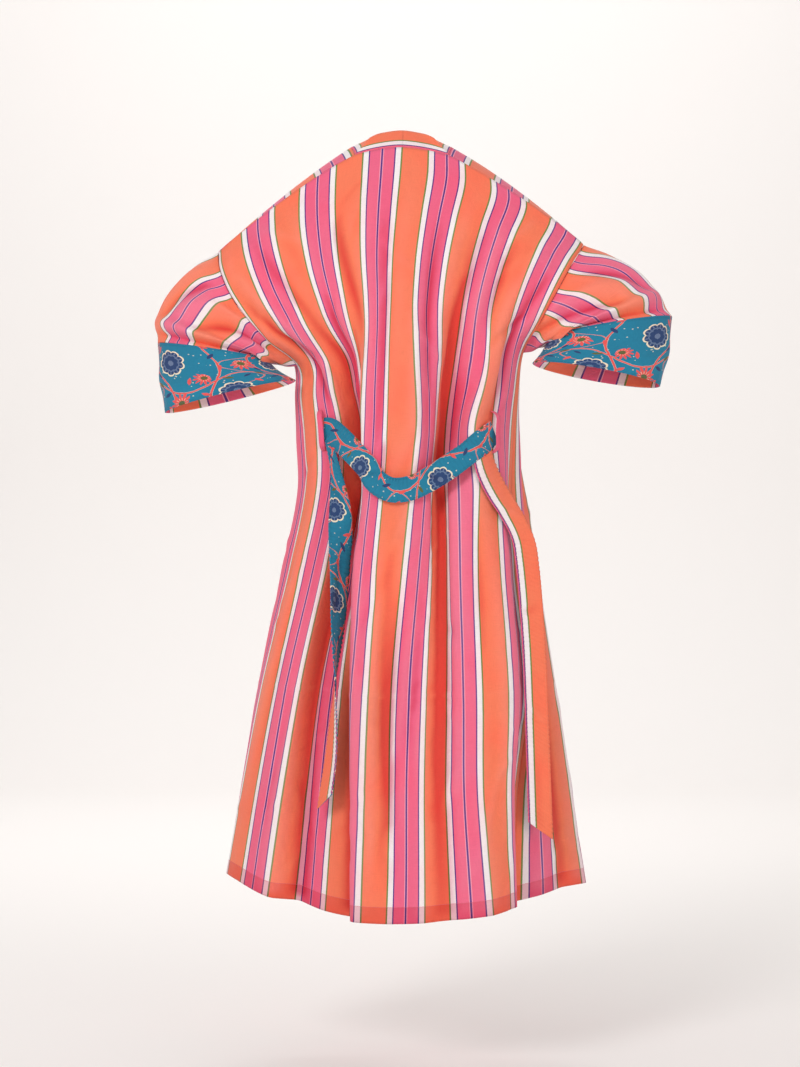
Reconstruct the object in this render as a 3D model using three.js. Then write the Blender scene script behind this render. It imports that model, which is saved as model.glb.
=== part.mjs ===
// Long open kimono of striped cotton, worn open with the sleeves bent and a belt hanging behind.
// Millimetres, +Z up, front towards -Y. The origin is at the neck, level with the back neck seam.
// Each panel is worked out from its flat cut: s runs across the cloth and t runs down it from the
// shoulder. A table of rows gives the course of each row round the body, and a table of folds gives
// the turns of the cloth, whose width is kept along every row.

import * as THREE from 'three';

// Cut sizes
const BACK_WIDTH = 664;
const BACK_LENGTH = 1262;
const FRONT_WIDTH = 262;
const FORWARD_SHOULDER = 26;
const NECK_HALF_WIDTH = 78;
const SHOULDER_DROP = 58;
const UNDERARM = 322;
const BAND_WIDTH = 40;
const BELT_WIDTH = 40;

// Walls and seams
const WALL = 2;
const CUFF_WALL = 2.6;
const SEAM_GAP = 0.3;
const SEAM_BEVEL = 1.6;

// Net sizes, in cells across and down
const BACK_CELLS = { across: 42, down: 24 };
const FRONT_CELLS = { across: 14, down: 24 };
const SLEEVE_CELLS = { round: 24, along: 7 };
const CUFF_CELLS = { round: 24, along: 3 };
const BAND_CELLS = { across: 2, neck: 5, front: 24 };
const BELT_CELLS = { across: 2, back: 22, tail: 16 };
const ROW_STEPS = 166;
const SHOULDER_BLEND = 60;

// A table: the names of its columns, then its rows
function table(columns, rows) {
  const names = columns.split(' ');
  return rows.map((row) => Object.fromEntries(names.map((name, i) => [name, row[i]])));
}

// Rows of the back: the middle of each row, where the cloth's own middle lies on it, and its two
// ends at armhole or side seam. bow is how the row sinks towards its ends: low for a straight slope,
// high for a level middle.
const BACK_ROWS = table('t midY midZ centreX leftX leftY leftZ rightX rightY rightZ bow', [
  [0, 56, 0, 0, 300, 14, -128, -290, 14, -118, 1.7],
  [45, 74, -44, 3, 303, 24, -160, -298, 24, -148, 1.6],
  [110, 96, -108, 9, 296, 60, -205, -275, 60, -190, 1.7],
  [180, 108, -177, 15, 270, 74, -258, -250, 74, -236, 1.8],
  [250, 116, -246, 18, 226, 62, -310, -224, 62, -284, 2],
  [322, 120, -317, 21, 174, 16, -354, -198, 16, -332, 2],
  [400, 116, -394, 23, 170, 4, -408, -188, 4, -402, 2],
  [470, 112, -463, 25, 164, 0, -468, -182, 8, -465, 2],
  [560, 118, -551, 30, 162, -2, -553, -178, 24, -553, 2],
  [700, 136, -687, 42, 188, -4, -684, -186, 56, -686, 2],
  [900, 156, -884, 54, 232, -10, -868, -203, 84, -876, 2],
  [1080, 170, -1063, 60, 264, -15, -1030, -184, 96, -1048, 2],
  [1262, 178, -1245, 66, 293, -20, -1192, -176, 104, -1222, 2],
]);

// Rows of the two fronts: armY is the armhole's place above the underarm, side is the outermost
// point of the row and edge its end at the neck band. The seam end follows the back.
const LEFT_ROWS = table('t armY sideX sideY sideZ edgeX edgeY edgeZ', [
  [0, 24, 196, 42, -88, 86, 54, -8],
  [40, -2, 200, 2, -78, 90, 12, 6],
  [90, -30, 200, -44, -106, 92, -32, -24],
  [150, -46, 196, -76, -164, 90, -66, -80],
  [220, -48, 186, -94, -232, 86, -90, -148],
  [290, -26, 176, -88, -288, 82, -104, -218],
  [348, 14, 182, -66, -330, 78, -110, -276],
  [500, 0, 182, -70, -464, 66, -116, -446],
  [600, 0, 176, -76, -560, 67, -122, -548],
  [730, 0, 200, -84, -686, 70, -130, -682],
  [1000, 0, 248, -96, -948, 76, -142, -958],
  [1288, 0, 272, -112, -1208, 84, -152, -1240],
]);
const RIGHT_ROWS = table('t armY sideX sideY sideZ edgeX edgeY edgeZ', [
  [0, 24, -190, 42, -80, -80, 54, -8],
  [40, -2, -196, 2, -70, -84, 12, 6],
  [90, -30, -196, -44, -98, -86, -32, -24],
  [150, -46, -190, -76, -154, -84, -66, -80],
  [220, -48, -182, -94, -220, -82, -90, -148],
  [290, -26, -176, -88, -274, -80, -104, -218],
  [348, 14, -184, -64, -318, -78, -110, -276],
  [500, 0, -196, -58, -464, -82, -114, -446],
  [730, 0, -226, -40, -686, -106, -124, -682],
  [1000, 0, -262, -24, -938, -150, -128, -956],
  [1288, 0, -302, -8, -1206, -196, -130, -1238],
]);

// Folds: each is a stretch of cloth that turns out of its row. half is its half width, and at each
// fold level s is where its middle lies and turn its angle in degrees. A turn above zero goes in
// towards the body as s grows. constant gives a fold whose middle keeps its place.
const FOLD_LEVELS = [60, 250, 350, 470, 600, 900, 1262];
const constant = (s) => FOLD_LEVELS.map(() => s);
const BACK_FOLDS = table('name half s turn', [
  ['left deep wall', 21, [84, 84, 84, 84, 78, 56, 38], [0, 12, 58, 80, 84, 82, 80]],
  ['left hollow', 28, constant(140), [0, 8, 30, 44, 30, 16, 12]],
  ['left return', 24, [200, 200, 198, 196, 196, 196, 188], [0, 0, -20, -60, -84, -94, -60]],
  ['left side ridge', 26, constant(260), [0, 6, 10, -20, -14, 10, 6]],
  ['centre slope', 20, constant(-24), [0, 0, 0, 0, 0, -50, 0]],
  ['right slope', 24, constant(-66), [0, -10, -24, -42, -40, -10, -6]],
  ['right hollow', 28, [-112, -112, -112, -112, -116, -126, -128], [0, -12, -40, -68, -66, -48, -26]],
  ['right waist wall', 26, constant(-182), [0, 8, 46, 78, 0, 0, 0]],
  ['right skirt wall', 17, constant(-152), [0, 0, 0, 0, 84, 56, 20]],
  ['right outer slope', 26, constant(-236), [0, -8, -30, -36, -34, -16, -34]],
  ['right seam return', 24, constant(-296), [0, 0, -16, -24, -40, -30, -60]],
]);
const FRONT_FOLDS = table('name half s turn', [
  ['side hollow', 22, [52, 52, 52, 52, 53, 56, 58], [0, 10, 26, 50, 46, 34, 22]],
  ['side ridge', 22, [98, 98, 98, 98, 99, 103, 106], [0, -10, -28, -52, -48, -36, -24]],
  ['inner hollow', 20, [160, 160, 160, 160, 161, 163, 164], [0, 8, 22, 44, 40, 30, 20]],
  ['inner ridge', 20, [204, 204, 204, 204, 205, 208, 210], [0, -8, -22, -44, -40, -30, -20]],
]);
const FOLD_SOFTNESS = 0.45;

// Sleeve and cuff rings: the outer and inner ends of each ring, its half depth, its middle in Y and
// how far its front hangs below its back. The first ring of a sleeve is the armhole itself.
const LEFT_SLEEVE = table('v outX outZ inX inZ half midY dip', [
  [0, 303, -160, 174, -354, 56, 14, 0],
  [0.25, 342, -187, 190, -355, 60, 16, 0],
  [0.5, 382, -236, 203, -352, 62, 20, 0],
  [0.75, 405, -281, 214, -348, 63, 24, 1],
  [1, 402, -318, 222, -344, 63, 27, 2],
]);
const LEFT_CUFF = table('v outX outZ inX inZ half midY dip', [
  [0, 402, -318, 222, -344, 63, 27, 2],
  [0.5, 397, -374, 204, -362, 61, 29, 3],
  [1, 390, -431, 176, -378, 58, 30, 4],
]);
const RIGHT_SLEEVE = table('v outX outZ inX inZ half midY dip', [
  [0, -298, -148, -198, -332, 56, 14, 0],
  [0.25, -340, -168, -212, -330, 60, 16, 0],
  [0.5, -384, -201, -222, -324, 62, 20, 0],
  [0.75, -418, -236, -231, -316, 63, 24, 2],
  [1, -441, -274, -238, -307, 63, 27, 4],
]);
const RIGHT_CUFF = table('v outX outZ inX inZ half midY dip', [
  [0, -441, -274, -238, -307, 63, 27, 4],
  [0.5, -434, -331, -228, -330, 61, 29, 6],
  [1, -421, -388, -212, -350, 58, 30, 7],
]);
const ARMHOLE_BLEND = 0.5;

// Where a sleeve starts and ends between its first and last rings, and how far the inner wall of a
// sleeve or cuff stops short, as shares of its length
const SLEEVE_START = 0.02;
const SLEEVE_END = 0.99;
const RING_BEVEL = 0.01;

// The neck band leans from its seam: in towards the neck at the back, flat on each front below.
// These rows go along the neck seam from the centre back, then down the front edge.
const NECK_LEAN = table('along x y z', [
  [0, 0, -0.62, 0.78],
  [0.5, -0.2, -0.6, 0.78],
  [1, -0.6, -0.3, 0.74],
]);
const FRONT_LEAN = table('t x y z', [
  [0, -0.6, -0.3, 0.74],
  [60, -0.84, -0.06, 0.54],
  [160, -0.97, -0.12, 0.2],
  [400, -0.99, -0.12, 0],
  [1288, -0.99, -0.1, 0],
]);

// The belt. Behind the waist its rows are places on the back panel's cut, with the belt's clearance;
// a hanging end has its middle line and the way its outer face looks, as an angle in degrees from
// +X towards +Y. The left end turns over half way down.
const BELT_BACK = table('along s t clear', [
  [0, 262, 462, 8],
  [0.08, 238, 466, 14],
  [0.25, 44, 526, 10],
  [0.38, 14, 554, 12],
  [0.52, -22, 569, 12],
  [0.66, -56, 558, 14],
  [0.87, -204, 508, 13],
  [1, -250, 470, 9.5],
]);
const LEFT_TAIL = table('along x y z face', [
  [0, 134, 66, -486, 76],
  [0.19, 104, 70, -598, 92],
  [0.33, 102, 80, -680, 126],
  [0.47, 104, 92, -762, 144],
  [0.61, 108, 104, -842, 172],
  [0.71, 110, 110, -902, 190],
  [0.85, 115, 116, -984, 208],
  [1, 127, 122, -1072, 212],
]);
const RIGHT_TAIL = table('along x y z face', [
  [0, -166, 86, -490, 127],
  [0.22, -196, 84, -640, 110],
  [0.5, -210, 106, -800, 107],
  [0.75, -216, 114, -960, 104],
  [1, -221, 120, -1120, 101],
]);
const TAIL_SLANT = 0.045;
const TAIL_BLEND = 0.25;
const TAIL_START = 0.09;
const TAIL_SHARE = 0.09;
const TAIL_GAP = 0.6;

// Belt loops, at the two ends of the stretch behind the waist. seat is how far their ends stand off.
const LOOP = { height: 72, width: 12, reach: 16, seat: 1.5, wall: 1.6, cells: 8 };

// Colours of the real cloth
const PINK = 0xf06a90;
const ORANGE = 0xf0855f;
const TEAL = 0x21809f;

// Smooth curve through the rows of a table, for one named column
function smooth(rows, key, column, value) {
  const last = rows.length - 1;
  let i = 0;
  while (i < last - 1 && value > rows[i + 1][key]) i += 1;
  const slope = (a, b) => (rows[b][column] - rows[a][column]) / (rows[b][key] - rows[a][key]);
  const here = i > 0 ? slope(i - 1, i + 1) : slope(0, 1);
  const next = i < last - 1 ? slope(i, i + 2) : slope(last - 1, last);
  const span = rows[i + 1][key] - rows[i][key];
  const u = THREE.MathUtils.clamp((value - rows[i][key]) / span, 0, 1);
  const u2 = u * u;
  const u3 = u2 * u;
  return (2 * u3 - 3 * u2 + 1) * rows[i][column] + (u3 - 2 * u2 + u) * span * here
    + (3 * u2 - 2 * u3) * rows[i + 1][column] + (u3 - u2) * span * next;
}

function smoothPoint(rows, key, value, columns) {
  const [x, y, z] = columns.map((column) => smooth(rows, key, column, value));
  return new THREE.Vector3(x, y, z);
}

// Angle of the cloth against its row, in radians
function turnAt(folds, s, t) {
  let angle = 0;
  for (const fold of folds) {
    const levels = FOLD_LEVELS.map((level, i) => ({ level, s: fold.s[i], turn: fold.turn[i] }));
    const middle = smooth(levels, 'level', 's', t);
    const reach = Math.abs(s - middle) / fold.half;
    const share = 1 - THREE.MathUtils.smoothstep(reach, 1 - FOLD_SOFTNESS, 1 + FOLD_SOFTNESS);
    angle += smooth(levels, 'level', 'turn', t) * share;
  }
  return THREE.MathUtils.degToRad(angle);
}

// One row of cloth laid along its course: walks the cloth's width, turning at each fold, and
// returns a function from s to a point of the row. Where centre is given, the middle of the cloth
// lies at that share of the course, and each half is fitted on its own side of it.
function layRow({ course, folds, t, start, width, outward, centre }) {
  const points = [];
  const lengths = [0];
  for (let i = 0; i <= ROW_STEPS; i += 1) {
    points.push(course(i / ROW_STEPS));
    if (i > 0) lengths.push(lengths[i - 1] + points[i].distanceTo(points[i - 1]));
  }
  const total = lengths[ROW_STEPS];
  const step = width / ROW_STEPS;
  const along = [0];
  const out = [0];
  for (let i = 1; i <= ROW_STEPS; i += 1) {
    const angle = turnAt(folds, start + (i - 0.5) * step, t);
    along.push(along[i - 1] + Math.cos(angle) * step);
    out.push(out[i - 1] - Math.sin(angle) * step);
  }
  const between = (list, place) => {
    const i = Math.min(Math.floor(place), ROW_STEPS - 1);
    return list[i] + (list[i + 1] - list[i]) * (place - i);
  };
  const middle = ROW_STEPS / 2;
  const reached = along[ROW_STEPS];
  const halfway = along[middle];
  const anchor = centre === undefined ? (total * halfway) / reached : between(lengths, centre * ROW_STEPS);
  const bulge = centre === undefined ? out[ROW_STEPS] / 2 : out[middle];
  return (s) => {
    const place = THREE.MathUtils.clamp((s - start) / step, 0, ROW_STEPS);
    const walked = between(along, place);
    const distance = place < middle
      ? (walked / halfway) * anchor
      : anchor + ((walked - halfway) / (reached - halfway)) * (total - anchor);
    const u = place / middle - 1;
    const drift = bulge * (1 - u * u) + (out[ROW_STEPS] * u * (u + 1)) / 2;
    let j = 0;
    while (j < ROW_STEPS - 1 && lengths[j + 1] < distance) j += 1;
    const share = (distance - lengths[j]) / (lengths[j + 1] - lengths[j]);
    const point = points[j].clone().lerp(points[j + 1], share);
    const before = points[Math.max(j - 1, 0)];
    const after = points[Math.min(j + 2, ROW_STEPS)];
    const normal = new THREE.Vector3(before.y - after.y, after.x - before.x, 0).normalize();
    return point.addScaledVector(normal, (between(out, place) - drift) * outward);
  };
}

// The course of a back row, from the right end to the left
function backCourse(t) {
  const at = (column) => smooth(BACK_ROWS, 't', column, t);
  const [midY, midZ, bow] = ['midY', 'midZ', 'bow'].map(at);
  const [leftX, leftY, leftZ] = ['leftX', 'leftY', 'leftZ'].map(at);
  const [rightX, rightY, rightZ] = ['rightX', 'rightY', 'rightZ'].map(at);
  const lift = midY - (leftY + rightY) / 2;
  return (share) => {
    const angle = (share - 0.5) * Math.PI;
    const across = Math.sin(angle);
    const side = (1 + across) / 2;
    const endZ = across > 0 ? leftZ : rightZ;
    return new THREE.Vector3(
      rightX + (leftX - rightX) * side,
      rightY + (leftY - rightY) * side + lift * Math.cos(angle),
      midZ + (endZ - midZ) * Math.abs(across) ** bow,
    );
  };
}

// The share of a back row's course at which the middle of the cloth lies
function backCentre(t) {
  const names = ['centreX', 'leftX', 'rightX'];
  const [centreX, leftX, rightX] = names.map((name) => smooth(BACK_ROWS, 't', name, t));
  const across = (2 * (centreX - rightX)) / (leftX - rightX) - 1;
  return Math.asin(across) / Math.PI + 0.5;
}

function shoulderLine(s) {
  const beyond = Math.max(0, Math.abs(s) - NECK_HALF_WIDTH);
  return (SHOULDER_DROP * beyond) / (BACK_WIDTH / 2 - NECK_HALF_WIDTH);
}

const rowStore = new Map();
function storedRow(name, t, make) {
  const key = `${name} ${t.toFixed(4)}`;
  if (!rowStore.has(key)) rowStore.set(key, make());
  return rowStore.get(key);
}

function backPoint(s, t) {
  const make = () => layRow({
    course: backCourse(t),
    folds: BACK_FOLDS,
    t,
    start: -BACK_WIDTH / 2,
    width: BACK_WIDTH,
    outward: 1,
    centre: backCentre(t),
  });
  return storedRow('back', t, make)(s);
}

// The course of a front row, from the seam to the neck band, through the row's outermost point
function frontCourse(side, t) {
  const rows = side > 0 ? LEFT_ROWS : RIGHT_ROWS;
  const names = side > 0 ? ['leftX', 'leftY', 'leftZ'] : ['rightX', 'rightY', 'rightZ'];
  const seamT = Math.max(SHOULDER_DROP, t - FORWARD_SHOULDER);
  const seam = smoothPoint(BACK_ROWS, 't', seamT, names);
  const underarm = UNDERARM + FORWARD_SHOULDER;
  if (t < underarm) seam.y = smooth(rows, 't', 'armY', t);
  const middle = smoothPoint(rows, 't', t, ['sideX', 'sideY', 'sideZ']);
  const edge = smoothPoint(rows, 't', t, ['edgeX', 'edgeY', 'edgeZ']);
  const first = seam.distanceTo(middle);
  const split = first / (first + middle.distanceTo(edge));
  return (share) => {
    const toSeam = ((share - split) * (share - 1)) / split;
    const toMiddle = (share * (share - 1)) / (split * (split - 1));
    const toEdge = (share * (share - split)) / (1 - split);
    return new THREE.Vector3()
      .addScaledVector(seam, toSeam)
      .addScaledVector(middle, toMiddle)
      .addScaledVector(edge, toEdge);
  };
}

// The shoulder seam, where the front's first row meets the back's
function shoulderSeam(side, s) {
  const reach = BACK_WIDTH / 2;
  const onBack = reach - (s / FRONT_WIDTH) * (reach - NECK_HALF_WIDTH);
  return backPoint(side * onBack, shoulderLine(onBack));
}

function frontPoint(side, s, t) {
  const name = side > 0 ? 'front left' : 'front right';
  const row = (level) => {
    const make = () => layRow({
      course: frontCourse(side, level),
      folds: FRONT_FOLDS,
      t: level,
      start: 0,
      width: FRONT_WIDTH,
      outward: side > 0 ? 1 : -1,
    });
    return storedRow(name, level, make)(s);
  };
  const point = row(t);
  const pull = 1 - THREE.MathUtils.smoothstep(t, 0, SHOULDER_BLEND);
  if (pull === 0) return point;
  return point.addScaledVector(shoulderSeam(side, s).sub(row(0)), pull);
}

// A closed wall between an outer net of points and the same net moved in by its thickness.
// surface(u, v) gives the outer points. round joins the last column to the first. Where bevelU or
// bevelV is given, the inner net stops that share short of each edge, so that seams don't meet inside.
function makeWall({ surface, across, down, thickness, round = false, flip = false, bevelU = 0, bevelV = 0 }) {
  const columns = round ? across : across + 1;
  const outer = [];
  const inner = [];
  const delta = 1e-3;
  for (let j = 0; j <= down; j += 1) {
    for (let i = 0; i < columns; i += 1) {
      const u = i / across;
      const v = j / down;
      const u0 = round ? u - delta : Math.max(u - delta, 0);
      const u1 = round ? u + delta : Math.min(u + delta, 1);
      const v0 = Math.max(v - delta, 0);
      const v1 = Math.min(v + delta, 1);
      const alongU = surface(u1, v).sub(surface(u0, v));
      const alongV = surface(u, v1).sub(surface(u, v0));
      const normal = alongU.cross(alongV).normalize().multiplyScalar(flip ? -1 : 1);
      outer.push(surface(u, v));
      const inU = round ? u : THREE.MathUtils.clamp(u, bevelU, 1 - bevelU);
      const inV = THREE.MathUtils.clamp(v, bevelV, 1 - bevelV);
      inner.push(surface(inU, inV).addScaledVector(normal, -thickness));
    }
  }
  const positions = [...outer, ...inner].flatMap((p) => [p.x, p.y, p.z]);
  const count = outer.length;
  const at = (i, j) => j * columns + (i % columns);
  const faces = [];
  const quad = (a, b, c, d) => {
    if (flip) faces.push(a, c, b, a, d, c);
    else faces.push(a, b, c, a, c, d);
  };
  for (let j = 0; j < down; j += 1) {
    for (let i = 0; i < across; i += 1) {
      quad(at(i, j), at(i + 1, j), at(i + 1, j + 1), at(i, j + 1));
      quad(count + at(i, j), count + at(i, j + 1), count + at(i + 1, j + 1), count + at(i + 1, j));
    }
  }
  for (let i = 0; i < across; i += 1) {
    quad(at(i, 0), count + at(i, 0), count + at(i + 1, 0), at(i + 1, 0));
    quad(at(i, down), at(i + 1, down), count + at(i + 1, down), count + at(i, down));
  }
  if (!round) {
    for (let j = 0; j < down; j += 1) {
      quad(at(0, j), at(0, j + 1), count + at(0, j + 1), count + at(0, j));
      const end = at(across, j);
      const endNext = at(across, j + 1);
      quad(end, count + end, count + endNext, endNext);
    }
  }
  const geometry = new THREE.BufferGeometry();
  geometry.setAttribute('position', new THREE.Float32BufferAttribute(positions, 3));
  geometry.setIndex(faces);
  geometry.computeVertexNormals();
  return geometry;
}

function cloth(colour) {
  return new THREE.MeshStandardMaterial({ color: colour, roughness: 0.85, metalness: 0 });
}

const kimono = new THREE.Group();
function addPiece(name, geometry, colour) {
  const piece = new THREE.Mesh(geometry, cloth(colour));
  piece.name = name;
  kimono.add(piece);
}

// Back panel
function makeBack() {
  const reach = BACK_WIDTH / 2 - SEAM_GAP;
  return makeWall({
    across: BACK_CELLS.across,
    down: BACK_CELLS.down,
    thickness: WALL,
    bevelU: SEAM_BEVEL / BACK_WIDTH,
    bevelV: SEAM_BEVEL / BACK_LENGTH,
    surface: (u, v) => {
      const s = (2 * u - 1) * reach;
      const top = shoulderLine(s);
      return backPoint(s, top + v * (BACK_LENGTH - top));
    },
  });
}
addPiece('back_panel', makeBack(), PINK);

// Front panels
function makeFront(side) {
  return makeWall({
    across: FRONT_CELLS.across,
    down: FRONT_CELLS.down,
    thickness: WALL,
    bevelU: SEAM_BEVEL / FRONT_WIDTH,
    bevelV: SEAM_BEVEL / BACK_LENGTH,
    flip: side < 0,
    surface: (u, v) => {
      const s = SEAM_GAP + u * (FRONT_WIDTH - 2 * SEAM_GAP);
      const length = BACK_LENGTH + FORWARD_SHOULDER;
      return frontPoint(side, s, SEAM_GAP + v * (length - SEAM_GAP));
    },
  });
}
addPiece('front_left', makeFront(1), PINK);
addPiece('front_right', makeFront(-1), PINK);

// The armhole: from the underarm up the back panel's edge, over the shoulder tip, down the front's
function armholePoint(side, turn) {
  const share = turn - Math.floor(turn);
  if (share <= 0.5) {
    const t = UNDERARM + (SHOULDER_DROP - UNDERARM) * share * 2;
    return backPoint((side * BACK_WIDTH) / 2, t);
  }
  return frontPoint(side, 0, (UNDERARM + FORWARD_SHOULDER) * (share * 2 - 1));
}

// One ring of a sleeve or cuff: turn 0 is under the arm, a quarter is the back, a half is the ridge
function ringPoint(rows, turn, v) {
  const at = (column) => smooth(rows, 'v', column, v);
  const [outX, outZ, inX, inZ] = ['outX', 'outZ', 'inX', 'inZ'].map(at);
  const across = (1 - Math.cos(turn * 2 * Math.PI)) / 2;
  const depth = Math.sin(turn * 2 * Math.PI);
  return new THREE.Vector3(
    inX + (outX - inX) * across,
    at('midY') + at('half') * depth,
    inZ + (outZ - inZ) * across + at('dip') * depth,
  );
}

function sleevePoint(side, turn, v) {
  const ring = ringPoint(side > 0 ? LEFT_SLEEVE : RIGHT_SLEEVE, turn, v);
  const share = THREE.MathUtils.smoothstep(v, 0, ARMHOLE_BLEND);
  const first = ringPoint(side > 0 ? LEFT_SLEEVE : RIGHT_SLEEVE, turn, 0);
  return ring.addScaledVector(armholePoint(side, turn).sub(first), 1 - share);
}

function cuffPoint(side, turn, v) {
  return ringPoint(side > 0 ? LEFT_CUFF : RIGHT_CUFF, turn, v);
}

// Sleeves and cuffs
for (const [name, side] of [['left', 1], ['right', -1]]) {
  addPiece(`sleeve_${name}`, makeWall({
    across: SLEEVE_CELLS.round,
    down: SLEEVE_CELLS.along,
    thickness: WALL,
    round: true,
    flip: side < 0,
    bevelV: RING_BEVEL,
    surface: (u, v) => sleevePoint(side, u, SLEEVE_START + v * (SLEEVE_END - SLEEVE_START)),
  }), ORANGE);
  addPiece(`cuff_${name}`, makeWall({
    across: CUFF_CELLS.round,
    down: CUFF_CELLS.along,
    thickness: CUFF_WALL,
    round: true,
    flip: side < 0,
    bevelV: RING_BEVEL,
    surface: (u, v) => cuffPoint(side, u, v),
  }), TEAL);
}

// Neck band halves: up from the back neck seam, over the shoulder and down the front edge
function bandSeam(side, along) {
  if (along < 1) {
    const s = side * NECK_HALF_WIDTH * along;
    return backPoint(s, 0);
  }
  return frontPoint(side, FRONT_WIDTH, along - 1);
}

function bandLean(side, along) {
  const lean = along < 1
    ? smoothPoint(NECK_LEAN, 'along', along, ['x', 'y', 'z'])
    : smoothPoint(FRONT_LEAN, 't', along - 1, ['x', 'y', 'z']);
  lean.x *= side;
  return lean.normalize();
}

function makeBand(side) {
  const neckShare = BAND_CELLS.neck / (BAND_CELLS.neck + BAND_CELLS.front);
  const frontLength = BACK_LENGTH + FORWARD_SHOULDER;
  const place = (v) => (v < neckShare
    ? v / neckShare
    : 1 + ((v - neckShare) / (1 - neckShare)) * frontLength);
  return makeWall({
    across: BAND_CELLS.across,
    down: BAND_CELLS.neck + BAND_CELLS.front,
    thickness: WALL,
    flip: side < 0,
    surface: (u, v) => {
      const along = place(v);
      const point = bandSeam(side, along);
      if (v === 0) point.x += side * SEAM_GAP / 2;
      const across = SEAM_GAP + u * (BAND_WIDTH - SEAM_GAP);
      return point.addScaledVector(bandLean(side, along), across);
    },
  });
}
addPiece('collar_left', makeBand(1), ORANGE);
addPiece('collar_right', makeBand(-1), ORANGE);

// Belt: the stretch behind the waist, held at the two loops, and the two hanging ends
function ribbonPoint(rows, u, along) {
  const delta = 0.004;
  const columns = ['x', 'y', 'z'];
  const before = smoothPoint(rows, 'along', Math.max(along - delta, 0), columns);
  const after = smoothPoint(rows, 'along', Math.min(along + delta, 1), columns);
  const angle = THREE.MathUtils.degToRad(smooth(rows, 'along', 'face', along));
  const face = new THREE.Vector3(Math.cos(angle), Math.sin(angle), 0);
  const across = after.sub(before).cross(face).normalize();
  return smoothPoint(rows, 'along', along, columns).addScaledVector(across, (u - 0.5) * BELT_WIDTH);
}

// Outward direction of the back panel, level, at a place on its cut
function backFacing(s, t) {
  const reach = 3;
  const run = backPoint(s + reach, t).sub(backPoint(s - reach, t));
  return new THREE.Vector3(-run.y, run.x, 0).normalize();
}

function addBelt(name, surface, down) {
  addPiece(name, makeWall({ surface, across: BELT_CELLS.across, down, thickness: WALL, flip: true }), TEAL);
}
const beltRows = BELT_BACK.map(({ along, s, t, clear }) => {
  const facing = backFacing(s, t);
  const place = backPoint(s, t).addScaledVector(facing, clear);
  const face = THREE.MathUtils.radToDeg(Math.atan2(facing.y, facing.x));
  return { along, x: place.x, y: place.y, z: place.z, face };
});
addBelt('belt_back', (u, v) => ribbonPoint(beltRows, u, v), BELT_CELLS.back);

// A hanging end starts under the lower edge of the stretch behind the waist
function tailPoint(rows, start, u, v) {
  const along = v * (1 - TAIL_SLANT * u);
  const pull = 1 - THREE.MathUtils.smoothstep(v, 0, TAIL_BLEND);
  const root = ribbonPoint(beltRows, 1, start + TAIL_SHARE * (0.5 - u));
  root.z -= TAIL_GAP;
  const point = ribbonPoint(rows, u, along);
  return point.addScaledVector(root.sub(ribbonPoint(rows, u, 0)), pull);
}
addBelt('belt_tail_left', (u, v) => tailPoint(LEFT_TAIL, TAIL_START, u, v), BELT_CELLS.tail);
addBelt('belt_tail_right', (u, v) => tailPoint(RIGHT_TAIL, 1 - TAIL_START, u, v), BELT_CELLS.tail);

// Belt loops
function makeLoop({ s, t }) {
  const facing = backFacing(s, t);
  return makeWall({
    across: 1,
    down: LOOP.cells,
    thickness: LOOP.wall,
    surface: (u, v) => {
      const w = 2 * v - 1;
      const reach = LOOP.seat + LOOP.reach * (1 - w ** 6);
      const place = backPoint(s + (u - 0.5) * LOOP.width, t + (w * LOOP.height) / 2);
      return place.addScaledVector(facing, reach);
    },
  });
}
addPiece('belt_loop_left', makeLoop(BELT_BACK[0]), PINK);
addPiece('belt_loop_right', makeLoop(BELT_BACK[BELT_BACK.length - 1]), PINK);

export default kimono;
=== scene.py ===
# Long open kimono of striped cotton with floral cuffs, a neck band down both fronts and a loose belt.
# Lengths are in metres, +Z up, front towards -Y, origin at the neck. Each panel is laid out from its
# flat cut: s runs across the cloth and t runs down it, and both are kept as the piece's UV map "cut".

import math

import bpy
import numpy as np
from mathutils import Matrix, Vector


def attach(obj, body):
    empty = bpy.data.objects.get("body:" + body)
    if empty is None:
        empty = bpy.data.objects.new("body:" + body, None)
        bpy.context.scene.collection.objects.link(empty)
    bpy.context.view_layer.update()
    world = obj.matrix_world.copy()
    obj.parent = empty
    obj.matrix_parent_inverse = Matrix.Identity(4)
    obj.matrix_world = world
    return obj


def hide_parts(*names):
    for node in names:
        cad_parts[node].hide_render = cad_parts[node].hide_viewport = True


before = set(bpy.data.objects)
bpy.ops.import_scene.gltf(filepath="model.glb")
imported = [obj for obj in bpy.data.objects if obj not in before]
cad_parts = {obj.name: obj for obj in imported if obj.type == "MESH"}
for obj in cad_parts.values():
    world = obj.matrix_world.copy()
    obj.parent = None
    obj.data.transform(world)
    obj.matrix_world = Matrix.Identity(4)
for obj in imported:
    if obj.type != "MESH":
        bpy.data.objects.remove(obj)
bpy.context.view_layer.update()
MM = 0.001

# Camera: behind the garment and level with its middle, framed as the photograph is
CAMERA_DISTANCE = 4.2
CAMERA_AIM = (0.005, 0.0, -0.629)
FRAME_HEIGHT = 1.7605
SENSOR = 36.0


def place_object(name, data):
    """A new object at the origin, in the scene."""
    made = bpy.data.objects.new(name, data)
    bpy.context.collection.objects.link(made)
    return made


camera_data = bpy.data.cameras.new("camera")
camera_data.sensor_width = SENSOR
camera_data.lens = SENSOR * CAMERA_DISTANCE / FRAME_HEIGHT
camera = place_object("camera", camera_data)
camera.location = (CAMERA_AIM[0], CAMERA_DISTANCE, CAMERA_AIM[2])
camera.rotation_euler = (math.radians(90), 0, math.radians(180))
bpy.context.scene.camera = camera

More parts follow.
